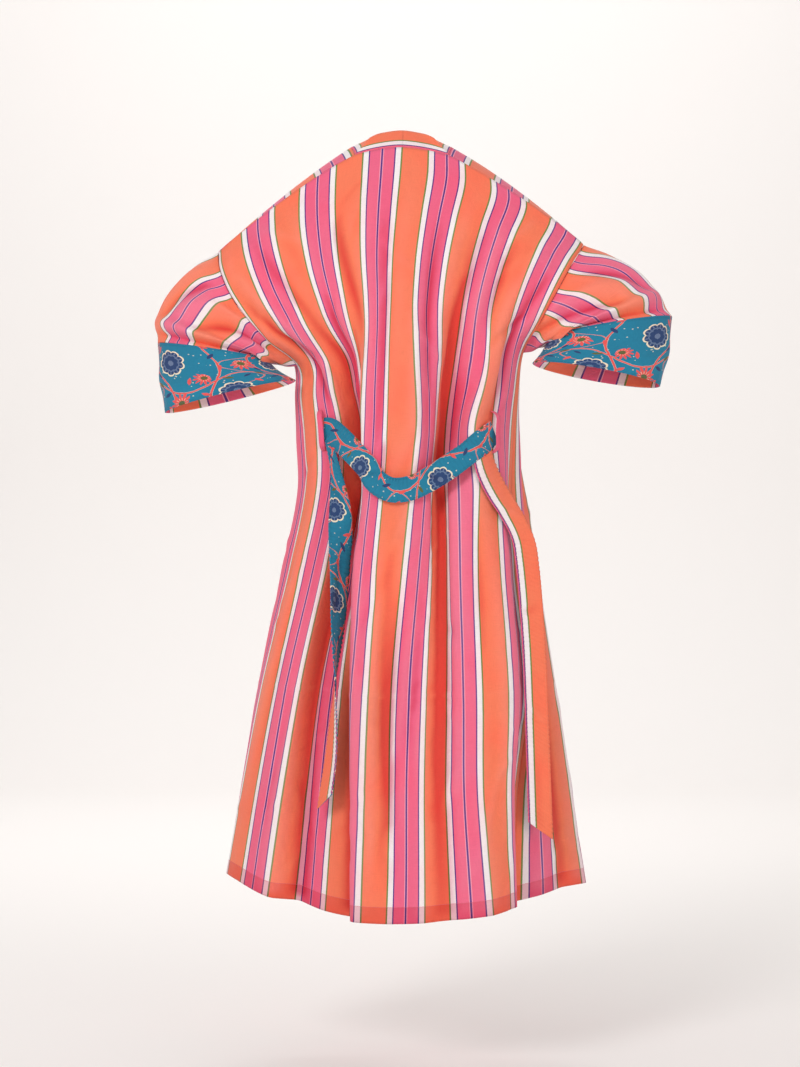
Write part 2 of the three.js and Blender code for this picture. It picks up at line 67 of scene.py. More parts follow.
# Floor and light: a pale studio floor that runs up into a pale wall, under an even white surround.
# A large soft key and a fill stand behind the camera, one lamp lights the wall and one the front.
FLOOR_Z = -1.497
FLOOR_REACH = 7.0
WALL_PLACE = -5.6
WALL_HEIGHT = 6.5
SWEEP_RADIUS = 1.2
SWEEP_STEPS = 16
STUDIO_WHITE = (0.925, 0.895, 0.878, 1)
SURROUND_WHITE = (1.0, 0.985, 0.965, 1)
SURROUND_STRENGTH = 0.54


def table(names, rows):
    """A table: the names of its columns, then its rows."""
    return [dict(zip(names.split(), row)) for row in rows]


LIGHTS = table("name place aim size watts", [
    ["key", (1.9, 3.6, 1.5), (0, 0, -0.5), 1.6, 78],
    ["fill", (-2.4, 3.4, -0.7), (0, 0, -0.9), 2.6, 34],
    ["wall", (0.0, -2.4, 3.0), (0, -5.6, 0.2), 3.0, 74],
    ["front", (0.8, -3.4, 2.4), (0, 0, -0.6), 2.4, 34],
])


def new_material(name):
    """A new material, its tree and its shader."""
    made = bpy.data.materials.new(name)
    made.use_nodes = True
    return made, made.node_tree, made.node_tree.nodes["Principled BSDF"]


profile = [(FLOOR_REACH, 0.0), (WALL_PLACE + SWEEP_RADIUS, 0.0)]
for step in range(1, SWEEP_STEPS + 1):
    angle = step / SWEEP_STEPS * math.pi / 2
    profile.append((
        WALL_PLACE + SWEEP_RADIUS - SWEEP_RADIUS * math.sin(angle),
        SWEEP_RADIUS - SWEEP_RADIUS * math.cos(angle),
    ))
profile.append((WALL_PLACE, WALL_HEIGHT))
verts = [(x, y, FLOOR_Z + z) for y, z in profile for x in (-FLOOR_REACH, FLOOR_REACH)]
faces = [(2 * i, 2 * i + 2, 2 * i + 3, 2 * i + 1) for i in range(len(profile) - 1)]
mesh = bpy.data.meshes.new("studio")
mesh.from_pydata(verts, [], faces)
mesh.shade_smooth()
studio = place_object("studio", mesh)
studio_paper, tree, shader = new_material("studio_paper")
shader.inputs["Base Color"].default_value = STUDIO_WHITE
shader.inputs["Roughness"].default_value = 0.9
mesh.materials.append(studio_paper)

for light in LIGHTS:
    data = bpy.data.lights.new(light["name"], "AREA")
    data.shape = "DISK"
    data.size = light["size"]
    data.energy = light["watts"]
    lamp = place_object(light["name"], data)
    lamp.location = light["place"]
    way = Vector(light["aim"]) - Vector(light["place"])
    lamp.rotation_euler = way.to_track_quat("-Z", "Y").to_euler()

world = bpy.data.worlds.new("surround")
bpy.context.scene.world = world
world.use_nodes = True
world.node_tree.nodes["Background"].inputs["Color"].default_value = SURROUND_WHITE
world.node_tree.nodes["Background"].inputs["Strength"].default_value = SURROUND_STRENGTH
bpy.context.scene.view_settings.view_transform = "Standard"

# Back panel: one width of light striped cotton, cut straight at the sides, with a shallow neck and
# sloped shoulders. It is sewn to the fronts at the shoulders and sides and turned up at the hem.
# A table of rows gives the course of each row of cloth and a table of folds its turns, in degrees.
BACK_WIDTH = 664
BACK_LENGTH = 1262
NECK_HALF_WIDTH = 78
SHOULDER_DROP = 58
UNDERARM = 322
HEM_DEPTH = 26
CLOTH_THICKNESS = 0.7 * MM
ROW_STEPS = 332
BACK_NET = (184, 256)


BACK_ROWS = table("t midY midZ centreX leftX leftY leftZ rightX rightY rightZ bow", [
    [0, 56, 0, 0, 300, 14, -128, -290, 14, -118, 1.7],
    [45, 74, -44, 3, 303, 24, -160, -298, 24, -148, 1.6],
    [110, 96, -108, 9, 296, 60, -205, -275, 60, -190, 1.7],
    [180, 108, -177, 15, 270, 74, -258, -250, 74, -236, 1.8],
    [250, 116, -246, 18, 226, 62, -310, -224, 62, -284, 2],
    [322, 120, -317, 21, 174, 16, -354, -198, 16, -332, 2],
    [400, 116, -394, 23, 170, 4, -408, -188, 4, -402, 2],
    [470, 112, -463, 25, 164, 0, -468, -182, 8, -465, 2],
    [560, 118, -551, 30, 162, -2, -553, -178, 24, -553, 2],
    [700, 136, -687, 42, 188, -4, -684, -186, 56, -686, 2],
    [900, 156, -884, 54, 232, -10, -868, -203, 84, -876, 2],
    [1080, 170, -1063, 60, 264, -15, -1030, -184, 96, -1048, 2],
    [1262, 178, -1245, 66, 293, -20, -1192, -176, 104, -1222, 2],
])
FOLD_LEVELS = [60, 250, 350, 470, 600, 900, 1262]


def constant(s):
    return [s] * len(FOLD_LEVELS)


BACK_FOLDS = table("name half s turn", [
    ["left deep wall", 21, [84, 84, 84, 84, 78, 56, 38], [0, 12, 58, 80, 84, 82, 80]],
    ["left hollow", 28, constant(140), [0, 8, 30, 44, 30, 16, 12]],
    ["left return", 24, [200, 200, 198, 196, 196, 196, 188], [0, 0, -20, -60, -84, -94, -60]],
    ["left side ridge", 26, constant(260), [0, 6, 10, -20, -14, 10, 6]],
    ["centre slope", 20, constant(-24), [0, 0, 0, 0, 0, -50, 0]],
    ["right slope", 24, constant(-66), [0, -10, -24, -42, -40, -10, -6]],
    ["right hollow", 28, [-112, -112, -112, -112, -116, -126, -128], [0, -12, -40, -68, -66, -48, -26]],
    ["right waist wall", 26, constant(-182), [0, 8, 46, 78, 0, 0, 0]],
    ["right skirt wall", 17, constant(-152), [0, 0, 0, 0, 84, 56, 20]],
    ["right outer slope", 26, constant(-236), [0, -8, -30, -36, -34, -16, -34]],
    ["right seam return", 24, constant(-296), [0, 0, -16, -24, -40, -30, -60]],
])
FOLD_SOFTNESS = 0.45


def smooth(knots, values, at):
    """Smooth curve through a table's column, at one place."""
    last = len(knots) - 1
    i = 0
    while i < last - 1 and at > knots[i + 1]:
        i += 1

    def slope(a, b):
        return (values[b] - values[a]) / (knots[b] - knots[a])

    here = slope(i - 1, i + 1) if i > 0 else slope(0, 1)
    after = slope(i, i + 2) if i < last - 1 else slope(last - 1, last)
    span = knots[i + 1] - knots[i]
    u = min(max((at - knots[i]) / span, 0), 1)
    u2, u3 = u * u, u * u * u
    return ((2 * u3 - 3 * u2 + 1) * values[i] + (u3 - 2 * u2 + u) * span * here
            + (3 * u2 - 2 * u3) * values[i + 1] + (u3 - u2) * span * after)


def column(rows, key, name, at):
    return smooth([row[key] for row in rows], [row[name] for row in rows], at)


def columns(rows, key, names, at):
    return np.array([column(rows, key, name, at) for name in names])


def smoothstep(x, low, high):
    u = np.clip((x - low) / (high - low), 0, 1)
    return u * u * (3 - 2 * u)


def lay_row(course, folds, t, start, width, outward, places, centre=None):
    """Points of one row of cloth: it walks along its course and turns at each fold.

    Where centre is given, the middle of the cloth lies at that share of the course.
    """
    lengths = np.concatenate([[0], np.cumsum(np.linalg.norm(np.diff(course, axis=0), axis=1))])
    step = width / ROW_STEPS
    middles = start + (np.arange(ROW_STEPS) + 0.5) * step
    angle = np.zeros(ROW_STEPS)
    for fold in folds:
        reach = np.abs(middles - smooth(FOLD_LEVELS, fold["s"], t)) / fold["half"]
        share = 1 - smoothstep(reach, 1 - FOLD_SOFTNESS, 1 + FOLD_SOFTNESS)
        angle += np.radians(smooth(FOLD_LEVELS, fold["turn"], t)) * share
    along = np.concatenate([[0], np.cumsum(np.cos(angle) * step)])
    out = np.concatenate([[0], np.cumsum(-np.sin(angle) * step)])
    half = ROW_STEPS // 2
    if centre is None:
        anchor = lengths[-1] * along[half] / along[-1]
        bulge = out[-1] / 2
    else:
        anchor = np.interp(centre * ROW_STEPS, np.arange(ROW_STEPS + 1), lengths)
        bulge = out[half]
    along = np.interp(along, [0, along[half], along[-1]], [0, anchor, lengths[-1]])
    u = np.linspace(-1, 1, ROW_STEPS + 1)
    out = out - bulge * (1 - u * u) - out[-1] * u * (u + 1) / 2
    stations = start + np.arange(ROW_STEPS + 1) * step
    distance = np.interp(places, stations, along)
    level = np.interp(places, stations, out) * outward
    point = np.stack([np.interp(distance, lengths, course[:, k]) for k in range(3)], axis=1)
    run = np.gradient(course, axis=0)
    across = np.stack([-run[:, 1], run[:, 0]], axis=1)
    across /= np.linalg.norm(across, axis=1)[:, None]
    point[:, 0] += np.interp(distance, lengths, across[:, 0]) * level
    point[:, 1] += np.interp(distance, lengths, across[:, 1]) * level
    return point


def back_row(t, places):
    values = {name: column(BACK_ROWS, "t", name, t) for name in BACK_ROWS[0]}
    angle = (np.linspace(0, 1, ROW_STEPS + 1) - 0.5) * math.pi
    across = np.sin(angle)
    side = (1 + across) / 2
    lift = values["midY"] - (values["leftY"] + values["rightY"]) / 2
    end = np.where(across > 0, values["leftZ"], values["rightZ"])
    course = np.stack([
        values["rightX"] + (values["leftX"] - values["rightX"]) * side,
        values["rightY"] + (values["leftY"] - values["rightY"]) * side + lift * np.cos(angle),
        values["midZ"] + (end - values["midZ"]) * np.abs(across) ** values["bow"],
    ], axis=1)
    part = (values["centreX"] - values["rightX"]) / (values["leftX"] - values["rightX"])
    centre = math.asin(2 * part - 1) / math.pi + 0.5
    return lay_row(course, BACK_FOLDS, t, -BACK_WIDTH / 2, BACK_WIDTH, 1, places, centre)


def shoulder_line(s):
    return SHOULDER_DROP * np.maximum(0, np.abs(s) - NECK_HALF_WIDTH) / (BACK_WIDTH / 2 - NECK_HALF_WIDTH)


def sample_rows(row, s, t):
    """Points at the places s, t of a net whose rows don't run level: read from level rows."""
    levels = np.linspace(t.min(), t.max(), 2 * t.shape[0])
    flat = np.stack([row(level, s[0]) for level in levels])
    out = np.empty(s.shape + (3,))
    for i in range(s.shape[1]):
        for k in range(3):
            out[:, i, k] = np.interp(t[:, i], levels, flat[:, i, k])
    return out


def net_normals(points, closed=False):
    """Unit normals of a net of points, across times down."""
    if closed:
        du = np.roll(points, -1, axis=1) - np.roll(points, 1, axis=1)
    else:
        du = np.gradient(points, axis=1)
    dv = np.gradient(points, axis=0)
    normal = np.cross(du, dv)
    return normal / np.maximum(np.linalg.norm(normal, axis=2), 1e-9)[:, :, None]


def crease_depth(s, t, creases):
    """Soft uneven troughs and ridges: each runs from one place of the cut to another."""
    depth = np.zeros(s.shape)
    for s0, t0, s1, t1, half, height in creases:
        run_s, run_t = s1 - s0, t1 - t0
        length = math.hypot(run_s, run_t)
        along = ((s - s0) * run_s + (t - t0) * run_t) / length ** 2
        bend = 0.25 * half * np.sin(along * 5 + s0)
        aside = ((s - s0) * run_t - (t - t0) * run_s) / length + bend
        fade = smoothstep(along, -0.1, 0.3) * (1 - smoothstep(along, 0.7, 1.1))
        depth += height * fade * np.exp(-(aside / half) ** 2)
    return depth


SMALL_LENGTH = (35, 130)
SMALL_LEAN = 0.5
SMALL_HEIGHT = (0.5, 1.7)
SMALL_HALF_WIDTH = (6, 10)


def small_creases(seed, count, s_range, t_range):
    """Short soft wrinkles at places and slopes drawn from a fixed seed, longer down the cloth."""
    chance = np.random.default_rng(seed)
    rows = []
    for _ in range(count):
        s0 = chance.uniform(*s_range)
        t0 = chance.uniform(*t_range)
        length = chance.uniform(*SMALL_LENGTH)
        slope = chance.normal(0, SMALL_LEAN)
        height = chance.uniform(*SMALL_HEIGHT) * chance.choice((-1, 1))
        rows.append((s0, t0, s0 + length * math.sin(slope), t0 + length * math.cos(slope),
                     chance.uniform(*SMALL_HALF_WIDTH), height))
    return rows


HOLLOW_REACH = (4, 8)
HOLLOW_FULL = 4.2


def hollows(points, closed):
    """How deep each place lies below the cloth round it, from -1 on a ridge to 1 in a trough."""
    level = points
    for axis, size in enumerate(HOLLOW_REACH):
        mode = "wrap" if closed and axis == 1 else "edge"
        pad = [(size, size) if k == axis else (0, 0) for k in range(3)]
        sums = np.cumsum(np.pad(level, pad, mode=mode), axis=axis)
        sums = np.concatenate([np.zeros_like(np.take(sums, [0], axis=axis)), sums], axis=axis)
        count = 2 * size + 1
        ends = np.arange(points.shape[axis])
        level = (np.take(sums, ends + count, axis=axis) - np.take(sums, ends, axis=axis)) / count
    depth = np.sum(net_normals(points, closed) * (level - points), axis=2) / HOLLOW_FULL
    edge = smoothstep(np.arange(points.shape[0]), 0, HOLLOW_REACH[0])
    edge = edge * edge[::-1]
    if closed:
        return np.clip(depth * edge[:, None], -1, 1)
    side = smoothstep(np.arange(points.shape[1]), 0, HOLLOW_REACH[1])
    return np.clip(depth * edge[:, None] * (side * side[::-1])[None], -1, 1)


def cloth_object(name, points, s, t, material, closed=False, flip=False, thickness=CLOTH_THICKNESS,
                 inside=None):
    """A thin shell through a net of points in millimetres, with its cut as UV map."""
    rows, cols = points.shape[:2]
    corner = np.arange(rows * cols).reshape(rows, cols)
    wrap = np.concatenate([corner, corner[:, :1]], axis=1) if closed else corner
    a, b, c, d = wrap[:-1, :-1], wrap[:-1, 1:], wrap[1:, 1:], wrap[1:, :-1]
    quads = np.stack([a, d, c, b] if flip else [a, b, c, d], axis=-1).reshape(-1, 4)
    mesh = bpy.data.meshes.new(name)
    mesh.from_pydata((points.reshape(-1, 3) * MM).tolist(), [], quads.tolist())
    if closed:
        s = np.concatenate([s, s[:, :1] + (s[:, 1:2] - s[:, :1]) * cols], axis=1)
        t = np.concatenate([t, t[:, :1]], axis=1)
    order = [(0, 0), (1, 0), (1, 1), (0, 1)] if flip else [(0, 0), (0, 1), (1, 1), (1, 0)]
    high, wide = s.shape[0] - 1, s.shape[1] - 1
    uv = np.stack([
        np.stack([cut[i:high + i, j:wide + j] for cut in (s, t)], axis=-1) for i, j in order
    ], axis=2) * MM
    mesh.uv_layers.new(name="cut").data.foreach_set("uv", uv.astype(np.float32).ravel())
    mesh.shade_smooth()
    # How deep each place lies is kept as an attribute; it drives the painted shade in hollows and the
    # painted light on ridges
    depth = hollows(points, closed) * (-1 if flip else 1)
    layer = mesh.attributes.new("hollow", "FLOAT", "POINT")
    layer.data.foreach_set("value", depth.astype(np.float32).ravel())
    piece = place_object(name, mesh)
    wall = piece.modifiers.new("thickness", "SOLIDIFY")
    wall.thickness = thickness
    wall.offset = -1
    mesh.materials.append(material)
    if inside:
        mesh.materials.append(inside)
        wall.material_offset = 1
    return piece


STITCH_SIZES = (("Pitch", 3.2 * MM), ("Length", 2.1 * MM), ("Radius", 0.26 * MM))
STITCH_LIFT = 0.12
THREAD_SIDES = 5


def add(tree, kind, inputs=None, **settings):
    """A new node with its settings; each input takes a plain value or another node's output."""
    node = tree.nodes.new(kind)
    for key, value in settings.items():
        setattr(node, key, value)
    for key, value in (inputs or {}).items():
        if isinstance(value, bpy.types.NodeSocket):
            tree.links.new(value, node.inputs[key])
        else:
            node.inputs[key].default_value = value
    return node


def stitch_tree():
    """Stitches along edges: resamples each line, lays a short rounded thread at each step."""
    tree = bpy.data.node_groups.new("stitches", "GeometryNodeTree")

    def socket(name, kind, side="INPUT"):
        return tree.interface.new_socket(name, in_out=side, socket_type="NodeSocket" + kind)

    socket("Geometry", "Geometry")
    for name, value in STITCH_SIZES:
        socket(name, "Float").default_value = value
    thread = socket("Thread", "Material").identifier
    socket("Geometry", "Geometry", "OUTPUT")
    start = add(tree, "NodeGroupInput").outputs
    line = add(tree, "GeometryNodeMeshToCurve", {"Mesh": start["Geometry"]}).outputs["Curve"]
    step = {"Curve": line, "Length": start["Pitch"]}
    steps = add(tree, "GeometryNodeResampleCurve", step, mode="LENGTH")
    sizes = {"Vertices": THREAD_SIDES, "Radius": start["Radius"], "Depth": start["Length"]}
    stitch = add(tree, "GeometryNodeMeshCylinder", sizes)
    tangent = add(tree, "GeometryNodeInputTangent").outputs["Tangent"]
    align = add(tree, "FunctionNodeAlignRotationToVector", {"Vector": tangent}, axis="Z")
    place = add(tree, "GeometryNodeInstanceOnPoints", {
        "Points": steps.outputs["Curve"],
        "Instance": stitch.outputs["Mesh"],
        "Rotation": align.outputs["Rotation"],
    })
    real = add(tree, "GeometryNodeRealizeInstances", {"Geometry": place.outputs["Instances"]})
    paint = {"Geometry": real.outputs["Geometry"], "Material": start["Thread"]}
    painted = add(tree, "GeometryNodeSetMaterial", paint)
    add(tree, "NodeGroupOutput", {"Geometry": painted.outputs["Geometry"]})
    return tree, thread


STITCH_TREE, THREAD_SOCKET = stitch_tree()


def cotton_thread(name, colour):
    """Matt sewing thread with its twist and small changes of tone."""
    material, tree, shader = new_material(name)
    place = add(tree, "ShaderNodeTexCoord").outputs["Object"]
    twist = add(tree, "ShaderNodeTexNoise", {"Vector": place, "Scale": 400.0})
    ramp = add(tree, "ShaderNodeValToRGB", {0: twist.outputs["Fac"]})
    shade, light = ramp.color_ramp.elements
    shade.position, light.position = 0.3, 0.7
    shade.color = tuple(0.75 * part for part in colour[:3]) + (1,)
    light.color = colour
    tree.links.new(ramp.outputs[0], shader.inputs["Base Color"])
    shader.inputs["Roughness"].default_value = 0.75
    return material


def stitches(name, lines, thread):
    """Stitches along lines of points in millimetres, as one piece."""
    verts, edges = [], []
    for line in lines:
        first = len(verts)
        verts += (np.asarray(line) * MM).tolist()
        edges += [(first + i, first + i + 1) for i in range(len(line) - 1)]
    mesh = bpy.data.meshes.new(name)
    mesh.from_pydata(verts, edges, [])
    guide = place_object(name + "_line", mesh)
    maker = guide.modifiers.new("stitches", "NODES")
    maker.node_group = STITCH_TREE
    maker[THREAD_SOCKET] = thread
    bpy.context.view_layer.update()
    seen = guide.evaluated_get(bpy.context.evaluated_depsgraph_get())
    made = bpy.data.meshes.new_from_object(seen)
    guide.modifiers.remove(maker)
    bpy.data.objects.remove(guide)
    piece = place_object(name, made)
    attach(piece, "root")


# The stripe repeat, from the middle of the back: millimetres of each colour
ORANGE = (0.93, 0.2, 0.1, 1)
PINK = (0.84, 0.13, 0.245, 1)
PALE_PINK = (0.93, 0.36, 0.46, 1)
WHITE = (0.9, 0.84, 0.85, 1)
GREEN = (0.16, 0.25, 0.06, 1)
PURPLE = (0.1, 0.035, 0.24, 1)
STRIPES = [
    (41, ORANGE), (2.9, GREEN), (8, WHITE), (2.3, PURPLE), (17.3, PINK), (1.2, PALE_PINK), (2.8, PURPLE),
    (1.2, PALE_PINK), (17.2, PINK), (2.3, PURPLE), (8, WHITE), (2.9, GREEN),
]
REPEAT = sum(width for width, _ in STRIPES)
# Painted shade: the colour in the hollows and creases of the cloth is darkened towards this deep red
HOLLOW_SHADE_TINT = (0.78, 0.3, 0.4, 1)
# Painted light: ridges of the cloth are paled towards this colour
RIDGE_LIGHT_TINT = (1.0, 0.62, 0.62, 1)
# Painted shade: broad random patches are deepened towards this colour, for the uneven light through the
# thin cloth
PATCH_SHADE_TINT = (0.96, 0.58, 0.64, 1)
# Painted shade on the double hem, which lets less light through than the single cloth
HEM_SHADE_TINT = (0.84, 0.5, 0.56, 1)
HEM_SHADE_SHARE = 0.85
THREAD_SCALES = ((2600, 60, 1), (60, 2600, 1))
CLOUD_SCALE = 9.0
CRINKLE_SCALE = 42.0
CRINKLE_DEPTH = 4.5 * MM
WEAVE_DEPTH = 0.6 * MM
COTTON_SURFACE = {
    "Roughness": 0.82, "Sheen Weight": 0.15, "Sheen Roughness": 0.5, "Specular IOR Level": 0.25,
}


def sums(tree):
    """A function that adds one sum to the tree and gives its result."""
    def work(operation, *values):
        return add(tree, "ShaderNodeMath", dict(enumerate(values)), operation=operation).outputs[0]
    return work


def mix_colour(tree, share, first, second, blend="MIX"):
    values = {0: share, 6: first, 7: second}
    return add(tree, "ShaderNodeMix", values, data_type="RGBA", blend_type=blend).outputs[2]


def noise(tree, place, scale, detail=2.0, distortion=0.0):
    values = {"Vector": place, "Scale": scale, "Detail": detail, "Distortion": distortion}
    return add(tree, "ShaderNodeTexNoise", values).outputs


def spread(tree, value, low, high, to_low, to_high):
    """A value carried from one range to another."""
    ranges = {"Value": value, "From Min": low, "From Max": high, "To Min": to_low, "To Max": to_high}
    return add(tree, "ShaderNodeMapRange", ranges).outputs[0]


def cut_coordinates(tree):
    cut = add(tree, "ShaderNodeUVMap", uv_map="cut").outputs[0]
    split = add(tree, "ShaderNodeSeparateXYZ", {0: cut}).outputs
    return cut, split[0], split[1]


def weave_finish(tree, shader, cut, colour, pale=0.1):
    """Fine plain weave with uneven threads: colour flecks, broad patches of painted shade, painted shade
    in hollows and painted light on ridges, crinkles and bump.
    """
    do = sums(tree)
    flecks = []
    for stretch in THREAD_SCALES:
        scale = add(tree, "ShaderNodeMapping", {"Vector": cut, "Scale": stretch})
        flecks.append(noise(tree, scale.outputs[0], 1.0)["Fac"])
    threads = do("ADD", *flecks)
    cloudy = noise(tree, cut, CLOUD_SCALE, 3.0)["Fac"]
    tone = spread(tree, threads, 0.5, 1.5, 0.88, 1.1)
    level = do("MULTIPLY", tone, spread(tree, cloudy, 0.3, 0.7, 0.95, 1.05))
    hollow = add(tree, "ShaderNodeAttribute", attribute_name="hollow").outputs["Fac"]
    # Painted light on ridges: the colour is paled there, by the share given as pale
    ridge_light = do("MULTIPLY", do("MINIMUM", hollow, 0.0), -pale)
    # Painted shade in broad cloudy patches, standing in for uneven light through the thin cloth
    shade_patch = spread(tree, cloudy, 0.42, 0.72, 0.0, 0.55)
    colour = mix_colour(tree, shade_patch, colour, PATCH_SHADE_TINT, "MULTIPLY")
    # Painted shade: darker and redder where the cloth lies in a hollow or crease
    colour = mix_colour(tree, do("MAXIMUM", hollow, 0.0), colour, HOLLOW_SHADE_TINT, "MULTIPLY")
    colour = mix_colour(tree, ridge_light, colour, RIDGE_LIGHT_TINT)
    tinted = add(tree, "ShaderNodeVectorMath", {0: colour, "Scale": level}, operation="SCALE").outputs[0]
    crinkles = noise(tree, cut, CRINKLE_SCALE, 3.5, 0.8)["Fac"]
    values = {"Height": crinkles, "Strength": 0.5, "Distance": CRINKLE_DEPTH}
    crinkle = add(tree, "ShaderNodeBump", values).outputs[0]
    values = {"Height": threads, "Strength": 0.25, "Distance": WEAVE_DEPTH, "Normal": crinkle}
    tree.links.new(add(tree, "ShaderNodeBump", values).outputs[0], shader.inputs["Normal"])
    tree.links.new(tinted, shader.inputs["Base Color"])
    for name, value in COTTON_SURFACE.items():
        shader.inputs[name].default_value = value


def striped_cotton(name, hem_from=None, offset=0.0):
    """Stripes follow s; the turned-up hem is double, and painted shade darkens it for the light that the
    double cloth holds back.
    """
    material, tree, shader = new_material(name)
    do = sums(tree)
    cut, s, t = cut_coordinates(tree)
    turned = do("DIVIDE", do("SUBTRACT", offset * MM, s), REPEAT * MM)
    ramp = add(tree, "ShaderNodeValToRGB", {0: do("SUBTRACT", turned, do("FLOOR", turned))})
    ramp.color_ramp.interpolation = "CONSTANT"
    stops = ramp.color_ramp.elements
    start = 0.0
    for width, colour in STRIPES:
        stop = stops.new(start / REPEAT) if start else stops[0]
        stop.color = colour
        start += width
    stops.remove(stops[len(STRIPES)])
    colour = ramp.outputs[0]
    if hem_from is not None:
        # Painted shade: below the hem fold the colour is darkened
        share = do("MULTIPLY", do("GREATER_THAN", t, hem_from * MM), HEM_SHADE_SHARE)
        colour = mix_colour(tree, share, colour, HEM_SHADE_TINT, "MULTIPLY")
    weave_finish(tree, shader, cut, colour)
    return material


# Main creases: from s, t to s, t, then half width and height, all in millimetres
BACK_CREASES = [
    (262, 60, 160, 400, 16, -5.5), (306, 110, 205, 430, 13, 5), (318, 170, 226, 440, 11, -6.5),
    (190, 50, 108, 340, 17, 4), (104, 90, 78, 330, 14, -6), (142, 190, 150, 480, 12, -6.5),
    (58, 40, 44, 420, 20, 3.5), (12, 120, 22, 520, 13, -3.4), (-22, 40, -16, 400, 22, 3),
    (-76, 110, -76, 540, 12, -6), (-118, 60, -100, 420, 16, 4), (-156, 130, -128, 440, 12, -6),
    (-196, 60, -162, 400, 15, 4), (-222, 120, -192, 420, 13, -6), (-268, 80, -226, 430, 14, 5),
    (-306, 130, -250, 440, 12, -6.5), (40, 560, 62, 1010, 17, 4), (-22, 600, -32, 1110, 14, -4.5),
    (-62, 640, -72, 1180, 14, 4), (-208, 560, -216, 900, 12, -5), (-244, 640, -266, 1150, 15, 5),
    (134, 620, 122, 1150, 13, -5), (170, 600, 164, 1100, 13, 4.5), (232, 600, 238, 1150, 13, -5),
    (290, 560, 302, 1100, 13, 4.5), (-300, 640, -306, 1120, 12, -4), (-96, 760, -60, 1040, 12, -3.4),
    (10, 860, -14, 1230, 13, 3), (330, 905, -330, 905, 3.5, 0.8), (-12, 700, 34, 820, 12, -3),
    (-44, 470, -28, 560, 9, -3.5), (8, 480, 4, 560, 8, -3), (60, 540, 40, 700, 9, -3),
    (-100, 570, -112, 700, 9, -3.5), (96, 250, 60, 480, 10, 3), (-60, 250, -40, 470, 10, 3),
    (-300, 240, -210, 330, 8, -3.5), (300, 250, 200, 360, 8, -3.5),
] + small_creases(3, 170, (-320, 320), (40, 1200))
edge = BACK_WIDTH / 2
s, v = np.meshgrid(np.linspace(-edge, edge, BACK_NET[0] + 1), np.linspace(0, 1, BACK_NET[1] + 1))
top = shoulder_line(s)
t = top + v * (BACK_LENGTH - top)
points = sample_rows(back_row, s, t)
points += net_normals(points) * crease_depth(s, t, BACK_CREASES)[:, :, None]
back_stripes = striped_cotton("striped_cotton_back", hem_from=BACK_LENGTH - HEM_DEPTH)
piece = cloth_object("back_panel_cloth", points, s, t, back_stripes)
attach(piece, "root")
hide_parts("back_panel")


def line_down(points, level):
    """A line across a net at a share of its length."""
    row = level * (points.shape[0] - 1)
    low = min(int(row), points.shape[0] - 2)
    return points[low] + (points[low + 1] - points[low]) * (row - low)


def line_across(points, level):
    """A line down a net at a share of its width."""
    return line_down(points.transpose(1, 0, 2), level)


pink_thread = cotton_thread("pink_thread", (0.8, 0.2, 0.26, 1))
orange_thread = cotton_thread("orange_thread", (0.9, 0.3, 0.17, 1))
raised = points + net_normals(points) * STITCH_LIFT
hem_line = line_down(raised, 1 - HEM_DEPTH / BACK_LENGTH)
stitches("back_hem_stitches", [hem_line], pink_thread)

# Front panels: the two fronts hang open. Each is cut straight from the shoulder seam, which lies a
# little behind the ridge of the shoulder, to the hem, and its inner edge carries the neck band.
FRONT_WIDTH = 262
FORWARD_SHOULDER = 26
SHOULDER_BLEND = 60
FRONT_NET = (72, 256)
LEFT_ROWS = table("t armY sideX sideY sideZ edgeX edgeY edgeZ", [
    [0, 24, 196, 42, -88, 86, 54, -8],
    [40, -2, 200, 2, -78, 90, 12, 6],
    [90, -30, 200, -44, -106, 92, -32, -24],
    [150, -46, 196, -76, -164, 90, -66, -80],
    [220, -48, 186, -94, -232, 86, -90, -148],
    [290, -26, 176, -88, -288, 82, -104, -218],
    [348, 14, 182, -66, -330, 78, -110, -276],
    [500, 0, 182, -70, -464, 66, -116, -446],
    [600, 0, 176, -76, -560, 67, -122, -548],
    [730, 0, 200, -84, -686, 70, -130, -682],
    [1000, 0, 248, -96, -948, 76, -142, -958],
    [1288, 0, 272, -112, -1208, 84, -152, -1240],
])
RIGHT_ROWS = table("t armY sideX sideY sideZ edgeX edgeY edgeZ", [
    [0, 24, -190, 42, -80, -80, 54, -8],
    [40, -2, -196, 2, -70, -84, 12, 6],
    [90, -30, -196, -44, -98, -86, -32, -24],
    [150, -46, -190, -76, -154, -84, -66, -80],
    [220, -48, -182, -94, -220, -82, -90, -148],
    [290, -26, -176, -88, -274, -80, -104, -218],
    [348, 14, -184, -64, -318, -78, -110, -276],
    [500, 0, -196, -58, -464, -82, -114, -446],
    [730, 0, -226, -40, -686, -106, -124, -682],
    [1000, 0, -262, -24, -938, -150, -128, -956],
    [1288, 0, -302, -8, -1206, -196, -130, -1238],
])
FRONT_FOLDS = table("name half s turn", [
    ["side hollow", 22, [52, 52, 52, 52, 53, 56, 58], [0, 10, 26, 50, 46, 34, 22]],
    ["side ridge", 22, [98, 98, 98, 98, 99, 103, 106], [0, -10, -28, -52, -48, -36, -24]],
    ["inner hollow", 20, [160, 160, 160, 160, 161, 163, 164], [0, 8, 22, 44, 40, 30, 20]],
    ["inner ridge", 20, [204, 204, 204, 204, 205, 208, 210], [0, -8, -22, -44, -40, -30, -20]],
])


